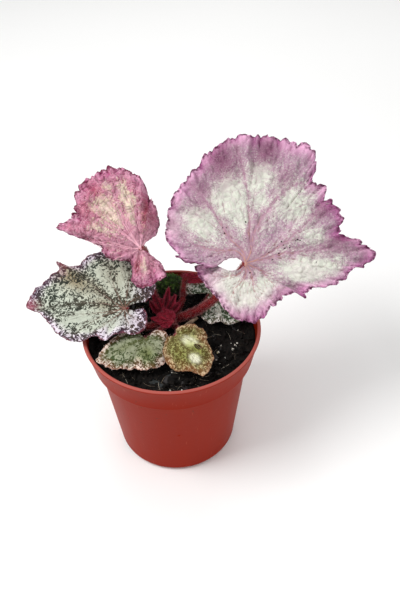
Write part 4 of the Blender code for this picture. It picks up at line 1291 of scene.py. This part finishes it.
# %% Rhizome
RHIZOME_RADIUS = 6.5
RHIZOME_FOOT_Z = 78.0
RHIZOME_TOP_Z = 100.6
RHIZOME_SIDES = 40
STALK_HAIRS = (2.6e6, 0.8, 2.0, 0.7)  # hairs per square metre, shortest, longest and lean


def rhizome_path():
    """The rhizome: an upright stump with a rounded top."""
    heights = np.linspace(RHIZOME_FOOT_Z, RHIZOME_TOP_Z, RHIZOME_SIDES)
    share = (heights - RHIZOME_FOOT_Z) / (RHIZOME_TOP_Z - RHIZOME_FOOT_Z)
    cap = np.sqrt(np.clip(1 - smooth_step((share - 0.85) / 0.15) ** 2 * 0.8, 0.05, 1))
    radii = RHIZOME_RADIUS * (0.8 + 0.2 * smooth_step(share * 1.4)) * cap
    return np.array([(*CROWN, height) for height in heights]) * MM, radii


# Old corky bark, dull and brown to crimson.
rhizome = tubes("rhizome", [rhizome_path()], RHIZOME_SIDES,
                two_tone("rhizome_bark", "#2E1210", "#6A1E20", 2.5, Roughness=0.75))
knobs = places_of(rhizome.data)
outward = (knobs - np.array((*CROWN, 0.0))) * (1, 1, 0)
rings = 1 + 0.05 * np.sin(knobs[:, 2] * 2.1) + 0.12 * bumps(knobs, 3.0, 6.1)
set_places(rhizome.data, knobs + outward * (rings - 1)[:, None])
stalk_mesh = stalks.data.copy()
finish_piece(joined("rhizome_and_stalks", [stalks, rhizome]), "stems", "stems")
# Hairs are clear with a little red sap: pale, with a faint sheen.
hair_finish = two_tone("stalk_hair", "#8E2230", "#D98F8C", 1.0, Roughness=0.5, Sheen_Weight=0.2)
finish_piece(spread("stalk_hairs", stalk_mesh, HAIR, 3, hair_finish, *STALK_HAIRS), "stems")

# %% [markdown]
# Soil. Potting peat is near black when wet. A bump on a flat disc would look painted, seen from so
# near. So the bed has real lumps of several sizes, and the spreading tree strews it with crumbs, bark
# chips, pale fibres and white perlite, most of them a millimetre or two across.

# %% The soil bed
SOIL_EDGE_Z = 95.5
SOIL_CENTRE_Z = 96.5
SOIL_GAP = 0.35
SOIL_UNDER = 0.3
DIP_DEPTH = 3.0
DIP_REACH = 22.0
LUMP_MM = 9.0
LUMPS_END = 54.0  # the lumps die out towards this radius
SOIL_RINGS = 51
SOIL_STEPS = 150


def soil_height(places):
    """Height of the soil's lumps over its plain surface, as in the CAD part, with finer ones added."""
    x, y = places[:, 0], places[:, 1]
    away = smooth_step((LUMPS_END - np.hypot(x, y)) / 8)
    near_crown = 1 - smooth_step(np.hypot(x - CROWN[0], y - CROWN[1]) / DIP_REACH)
    lump, small = (np.array([noise.noise(Vector((a, b, level)) / LUMP_MM * finer) for a, b in zip(x, y)])
                   for level, finer in ((4.0, 1.0), (9.0, 2.3)))
    height = away * 1.3 * (1 - near_crown) * (lump + 0.5 * small) - DIP_DEPTH * near_crown
    flat = places * (1, 1, 0)
    return height + 1.3 * bumps(flat, 4.2, 1.7) + 0.8 * bumps(flat, 1.8, 7.7)


def soil_bed():
    """The filled inside of the pot, and each point's room to the wall, 0 where nothing may lie."""
    wall = [(radius - SOIL_GAP, height + SOIL_UNDER) for radius, height in inner_wall()]
    low, high = wall[-2], wall[-1]
    share = (SOIL_EDGE_Z - low[1]) / (high[1] - low[1])
    edge_radius = low[0] + share * (high[0] - low[0])
    fall = SOIL_CENTRE_Z - SOIL_EDGE_Z
    radii = np.linspace(0, edge_radius, SOIL_RINGS + 1)
    top = [(r, SOIL_CENTRE_Z - fall * (r / edge_radius) ** 2) for r in radii]
    below = [point for point in wall if point[1] < SOIL_EDGE_Z]
    profile = top + below[::-1] + [(0, FLOOR_THICKNESS + SOIL_UNDER)]
    bed = bake_object(turned("bed", profile, SOIL_STEPS), "soil_bed")
    places = places_of(bed.data)
    upper = places[:, 2] > SOIL_EDGE_Z - 0.1
    places[upper, 2] += soil_height(places[upper])
    set_places(bed.data, places)
    clear = np.hypot(places[:, 0] - CROWN[0], places[:, 1] - CROWN[1]) > RHIZOME_RADIUS + 1
    return bed, np.where(upper & clear, edge_radius - np.hypot(places[:, 0], places[:, 1]), 0)


bed, soil_room = soil_bed()
# Wet peat: near black and matt, with brown fibres and a faint gloss where it is wet.
peat = two_tone("wet_peat", "#050403", "#1F1813", 1.5, span=(0.42, 0.72), detail=5.0, rough=0.7,
                bump=(0.8, 1.0), Roughness=0.85, Specular_IOR_Level=0.2)
bed.data.materials.append(peat)
finish_piece(bed, "soil", "soil")


# %% What lies on the soil
def lump_shape(name, size, rough, seed, subdivisions=2):
    """An uneven lump about 1 mm across, stretched by size."""
    bm = bmesh.new()
    bmesh.ops.create_icosphere(bm, subdivisions=subdivisions, radius=0.5)
    for vertex in bm.verts:
        push = 1 + rough * noise.noise(vertex.co * 3 + Vector((seed, 0, 0)))
        vertex.co = Vector([c * s * push for c, s in zip(vertex.co, size)]) * MM
    return from_bmesh(name, bm, hidden=True)


def fibre_shape(name, length, thickness, bend):
    """A curved fibre that lies along X, as a closed tube."""
    t = np.linspace(-0.5, 0.5, 7)
    places = np.stack((t * length, bend * (0.25 - t * t) * length, 0.12 * length * (0.25 - t * t)), -1)
    shape = tubes(name, [(places * MM, thickness * (1 - 1.2 * t * t))], 4, None)
    shape.hide_render = True
    return shape


# Bark is dull and nearly black, perlite is expanded glass, white and matt, and fibres are dry and pale.
LITTER = {  # shape, finish colours, room to the wall, then number per square metre, sizes and lean
    "peat_crumbs": (lump_shape("crumb", (1.0, 1.2, 0.8), 1.4, 1.0, 1), None, 1.5, 1.7e5, 0.6, 2.2, 3.0),
    "peat_lumps": (lump_shape("lump", (1.0, 1.3, 0.8), 1.2, 5.0), None, 3.5, 1.6e4, 2.4, 6.0, 3.0),
    "bark_chips": (lump_shape("chip", (1.6, 1.0, 0.3), 1.0, 9.0), ("#181618", "#34302F"), 6.0,
                   4.5e3, 3.0, 6.5, 0.5),
    "perlite": (lump_shape("grain", (1.0, 1.1, 0.9), 0.9, 3.0), ("#D8D2C6", "#F2EFE8"), 1.5,
                3.5e3, 0.6, 1.3, 3.0),
    "brown_fibres": (fibre_shape("fibre", 7.0, 0.11, 0.5), ("#453A30", "#857662"), 6.5,
                     2.4e4, 0.5, 1.6, 0.35),
    "pale_needles": (fibre_shape("needle", 12.0, 0.13, 0.25), ("#8A8274", "#B4AC9C"), 9.0,
                     4.5e3, 0.7, 1.3, 0.25),
}
for name, (shape, colours, room, *how) in LITTER.items():
    finish = two_tone(name, *colours, 1.0, Roughness=0.8) if colours else peat
    piece = spread(name, bed.data, shape, len(name), finish, *how, cover=soil_room > room)
    finish_piece(piece, "soil", smooth=name in ("brown_fibres", "pale_needles"))
    bpy.data.objects.remove(shape)

# %% Bits that lie at places of their own
# Bark is near black, grit is pale stone, and straw and needles are dry and beige. All of them are matt.
BITS = {  # size and unevenness of the lump, finish colours, then east, north, scale and turn of each
    "placed_bark": ((1.6, 1.0, 0.45), 0.9, ("#171B1B", "#2C3232"),
                    ((-12.2, -43.4, 4.6, 10), (-2.1, -40.4, 3.2, 70), (-6.0, -46.5, 2.6, 150))),
    "placed_grit": ((1.0, 1.1, 0.9), 0.9, ("#ACA69A", "#D6D2C8"),
                    ((42.0, -13.5, 1.8, 0), (40.5, -16.2, 1.5, 40), (32.7, -13.1, 1.0, 80),
                     (44.9, 1.8, 1.3, 20), (43.6, -11.2, 1.1, 60), (-0.7, -50.5, 1.2, 0))),
    "placed_straw": ((1.8, 0.9, 0.7), 0.9, ("#8C8468", "#C2B890"),
                     ((-18.3, -34.6, 1.7, 30), (-23.5, -32.7, 1.3, 110), (30.4, -19.5, 1.1, 70))),
    "placed_needles": ((12.0, 0.35, 0.35), 0.1, ("#8A8274", "#B4AC9C"),
                       ((-29.5, -39.3, 0.9, 113), (33.5, -32.1, 1.15, 36), (28.0, -27.0, 0.8, 52),
                        (36.5, -24.0, 0.7, 20))),
}


def placed_bits(name, size, rough, rows):
    """Copies of one lump, each sunk a third into the soil at its own place."""
    shape = lump_shape("bit", size, rough, 2.0)
    plain = places_of(shape.data)
    faces = [tuple(face.vertices) for face in shape.data.polygons]
    all_places, all_faces = [], []
    for east, north, scale, turn in rows:
        c, s = cos(radians(turn)), sin(radians(turn))
        x, y, z = (plain * scale).T
        high = SOIL_CENTRE_Z - (hypot(east, north) / RIM_RADIUS) ** 2 + 0.35 * z.max()
        high += soil_height(np.array([[east, north, 0.0]]))[0]
        all_faces += [tuple(v + len(plain) * len(all_places) for v in face) for face in faces]
        all_places.append(np.stack((east + c * x - s * y, north + s * x + c * y, high + z), -1))
    mesh = bpy.data.meshes.new(name)
    mesh.from_pydata((np.vstack(all_places) * MM).tolist(), [], all_faces)
    bpy.data.objects.remove(shape)
    return link_new(name, mesh)


for name, (size, rough, colours, rows) in BITS.items():
    bits = placed_bits(name, size, rough, rows)
    bits.data.materials.append(two_tone(name, *colours, 1.0, Roughness=0.8))
    finish_piece(bits, "soil", smooth=False)

# %% [markdown]
# Moss. A tuft grows at the back of the pot. A noisy green cushion alone would look like felt, because
# moss is known by its leaflets. So the CAD part's cushion is hidden under some hundreds of shoots, each
# a spiral of pointed leaflets, set by the same tree as the hairs.

# %% The moss tuft
MOSS_PLACE = (-2.0, 45.0)
MOSS_RADIUS = 9.0
MOSS_FOOT_Z = 93.6
MOSS_HEIGHT = 13.0
MOSS_BUMP = 1.4
MOSS_SHOOTS = (1.9e6, 2.0, 4.6, 0.45)  # shoots per square metre, shortest, longest and lean
LEAFLETS = 8
LEAFLET_TURN = 2.4  # the golden angle
MOSS_ROOM = 9.5  # how far from the pot's rim the shoots begin
MOSS_SPIKE_FOOT_Z = 103.5
MOSS_SPIKES = (  # place east and north, height and lean in millimetres
    (-1.5, 46.0, 8.0, 1.0), (-3.5, 45.0, 5.0, -1.5), (1.5, 44.0, 5.0, 1.5), (3.5, 46.0, 4.5, 2.0),
    (-5.5, 46.0, 4.0, -2.0), (0.5, 48.0, 5.5, 0.5), (-7.0, 43.5, 3.0, -1.5), (5.0, 43.0, 3.0, 2.0))


def moss_cushion():
    """The cushion, a little smaller than the CAD part's so that the shoots reach its outline."""
    bm = bmesh.new()
    bmesh.ops.create_icosphere(bm, subdivisions=4, radius=1)
    for vertex in bm.verts:
        upper = min(max(vertex.co.z * 3, 0), 1)
        bump = 0.9 + MOSS_BUMP / MOSS_RADIUS * noise.noise(vertex.co * 2.6) * upper
        wide = MOSS_RADIUS * min(bump, 1)
        size = Vector((wide, wide, MOSS_HEIGHT * bump if vertex.co.z > 0 else 0))
        vertex.co = (vertex.co * size + Vector((*MOSS_PLACE, MOSS_FOOT_Z))) * MM
    return from_bmesh("moss_cushion", bm)


def shoot_shape():
    """A moss shoot 1 mm tall: pointed leaflets in a spiral."""
    bm = bmesh.new()
    for number in range(LEAFLETS):
        turn = LEAFLET_TURN * number
        root = Vector((0, 0, 0.15 + 0.1 * number))
        outward = Vector((cos(turn), sin(turn), 0.9 + 0.1 * number)).normalized()
        aside = outward.cross(Vector((0, 0, 1))).normalized() * 0.09
        middle = root + outward * 0.25
        corners = [root, middle + aside, root + outward * 0.55, middle - aside,
                   middle + outward.cross(aside).normalized() * 0.05]
        a, b, c, d, e = (bm.verts.new(place * MM) for place in corners)
        for face in ((a, b, e), (b, c, e), (c, d, e), (d, a, e), (a, d, b), (b, d, c)):
            bm.faces.new(face)
    bmesh.ops.recalc_face_normals(bm, faces=bm.faces)
    return from_bmesh("shoot", bm, hidden=True)


def moss_finish():
    """Moss leaflets: a soft sheen, dark green at the cushion's foot and brighter on top."""
    material, tree, shader, place = new_finish("moss_leaflet", Roughness=0.6, Sheen_Weight=0.2)
    height = add(tree, "ShaderNodeSeparateXYZ", {0: place}, out=2)
    clouds = add(tree, "ShaderNodeTexNoise", {"Vector": place, "Scale": 1 / (3 * MM)})
    top, patchy = (add(tree, "ShaderNodeMapRange", {"Value": value, "From Min": low, "From Max": high})
                   for value, low, high in ((height, 0.098, 0.107), (clouds, 0.35, 0.65)))
    share = add(tree, "ShaderNodeMath", {0: top, 1: patchy}, operation="MULTIPLY")
    tone = add(tree, "ShaderNodeMix", {0: share, 6: linear("#131E0A"), 7: linear("#6C9C36")}, out=2,
               data_type="RGBA")
    wire(tree, shader, tone)
    return material


cushion = moss_cushion()
moss_green = moss_finish()
cushion.data.materials.append(moss_green)
moss_places = places_of(cushion.data)
free = np.hypot(moss_places[:, 0], moss_places[:, 1]) < RIM_RADIUS - MOSS_ROOM
shoot = shoot_shape()
shoots = spread("moss_shoots", cushion.data, shoot, 5, moss_green, *MOSS_SHOOTS,
                cover=(moss_places[:, 2] > SOIL_EDGE_Z) & free)
bpy.data.objects.remove(shoot)
finish_piece(joined("moss_tuft", [cushion, shoots]), "moss", "moss", smooth=False)
share = np.linspace(0, 1, 5)
spikes = [(np.stack((east + lean * share ** 2, np.full(5, north), MOSS_SPIKE_FOOT_Z + tall * share), -1) * MM,
           0.4 - 0.32 * share) for east, north, tall, lean in MOSS_SPIKES]
finish_piece(tubes("moss_spikes", spikes, 6, moss_green), "moss")

# %% [markdown]
# Dry stalk. The stump of an old leaf stalk is papery and beige, and it shrinks unevenly as it dries. So
# it is a tube with an uneven radius along a bent route, and noise then crumples its skin.

# %% The dry stalk
DRY_STALK_ROUTE = ((6.5, 4.0, 91.0), (10.0, 5.5, 98.5), (14.0, 7.0, 101.0), (17.5, 8.5, 103.0))
DRY_STALK_RADIUS = 1.5
DRY_STALK_SIDES = 20
CRUMPLE = 0.25
t = np.linspace(0, 1, 30)
dry_radii = DRY_STALK_RADIUS * (1 - 0.2 * t) * (1 + 0.06 * np.sin(t * 23))
# Dry plant tissue: matt, from beige to brown.
dry = tubes("dry_stalk_husk", [(along(DRY_STALK_ROUTE, t) * MM, dry_radii)], DRY_STALK_SIDES,
            two_tone("dry_husk", "#6E5748", "#A89078", 2.0, Roughness=0.85))
places = places_of(dry.data)
set_places(dry.data, places + bumps(places, 1.4, 2.8)[:, None] * CRUMPLE)
finish_piece(dry, "dry_stalk", "dry_stalk")

# %% Tidy up and measure
bpy.data.objects.remove(HAIR)
for mesh in [mesh for mesh in bpy.data.meshes if mesh.users == 0]:
    bpy.data.meshes.remove(mesh)
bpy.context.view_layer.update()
total = 0
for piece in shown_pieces():
    piece.data.calc_loop_triangles()
    total += len(piece.data.loop_triangles)
    print(f"{piece.name}: {len(piece.data.loop_triangles)} triangles")
print("triangles in all:", total)
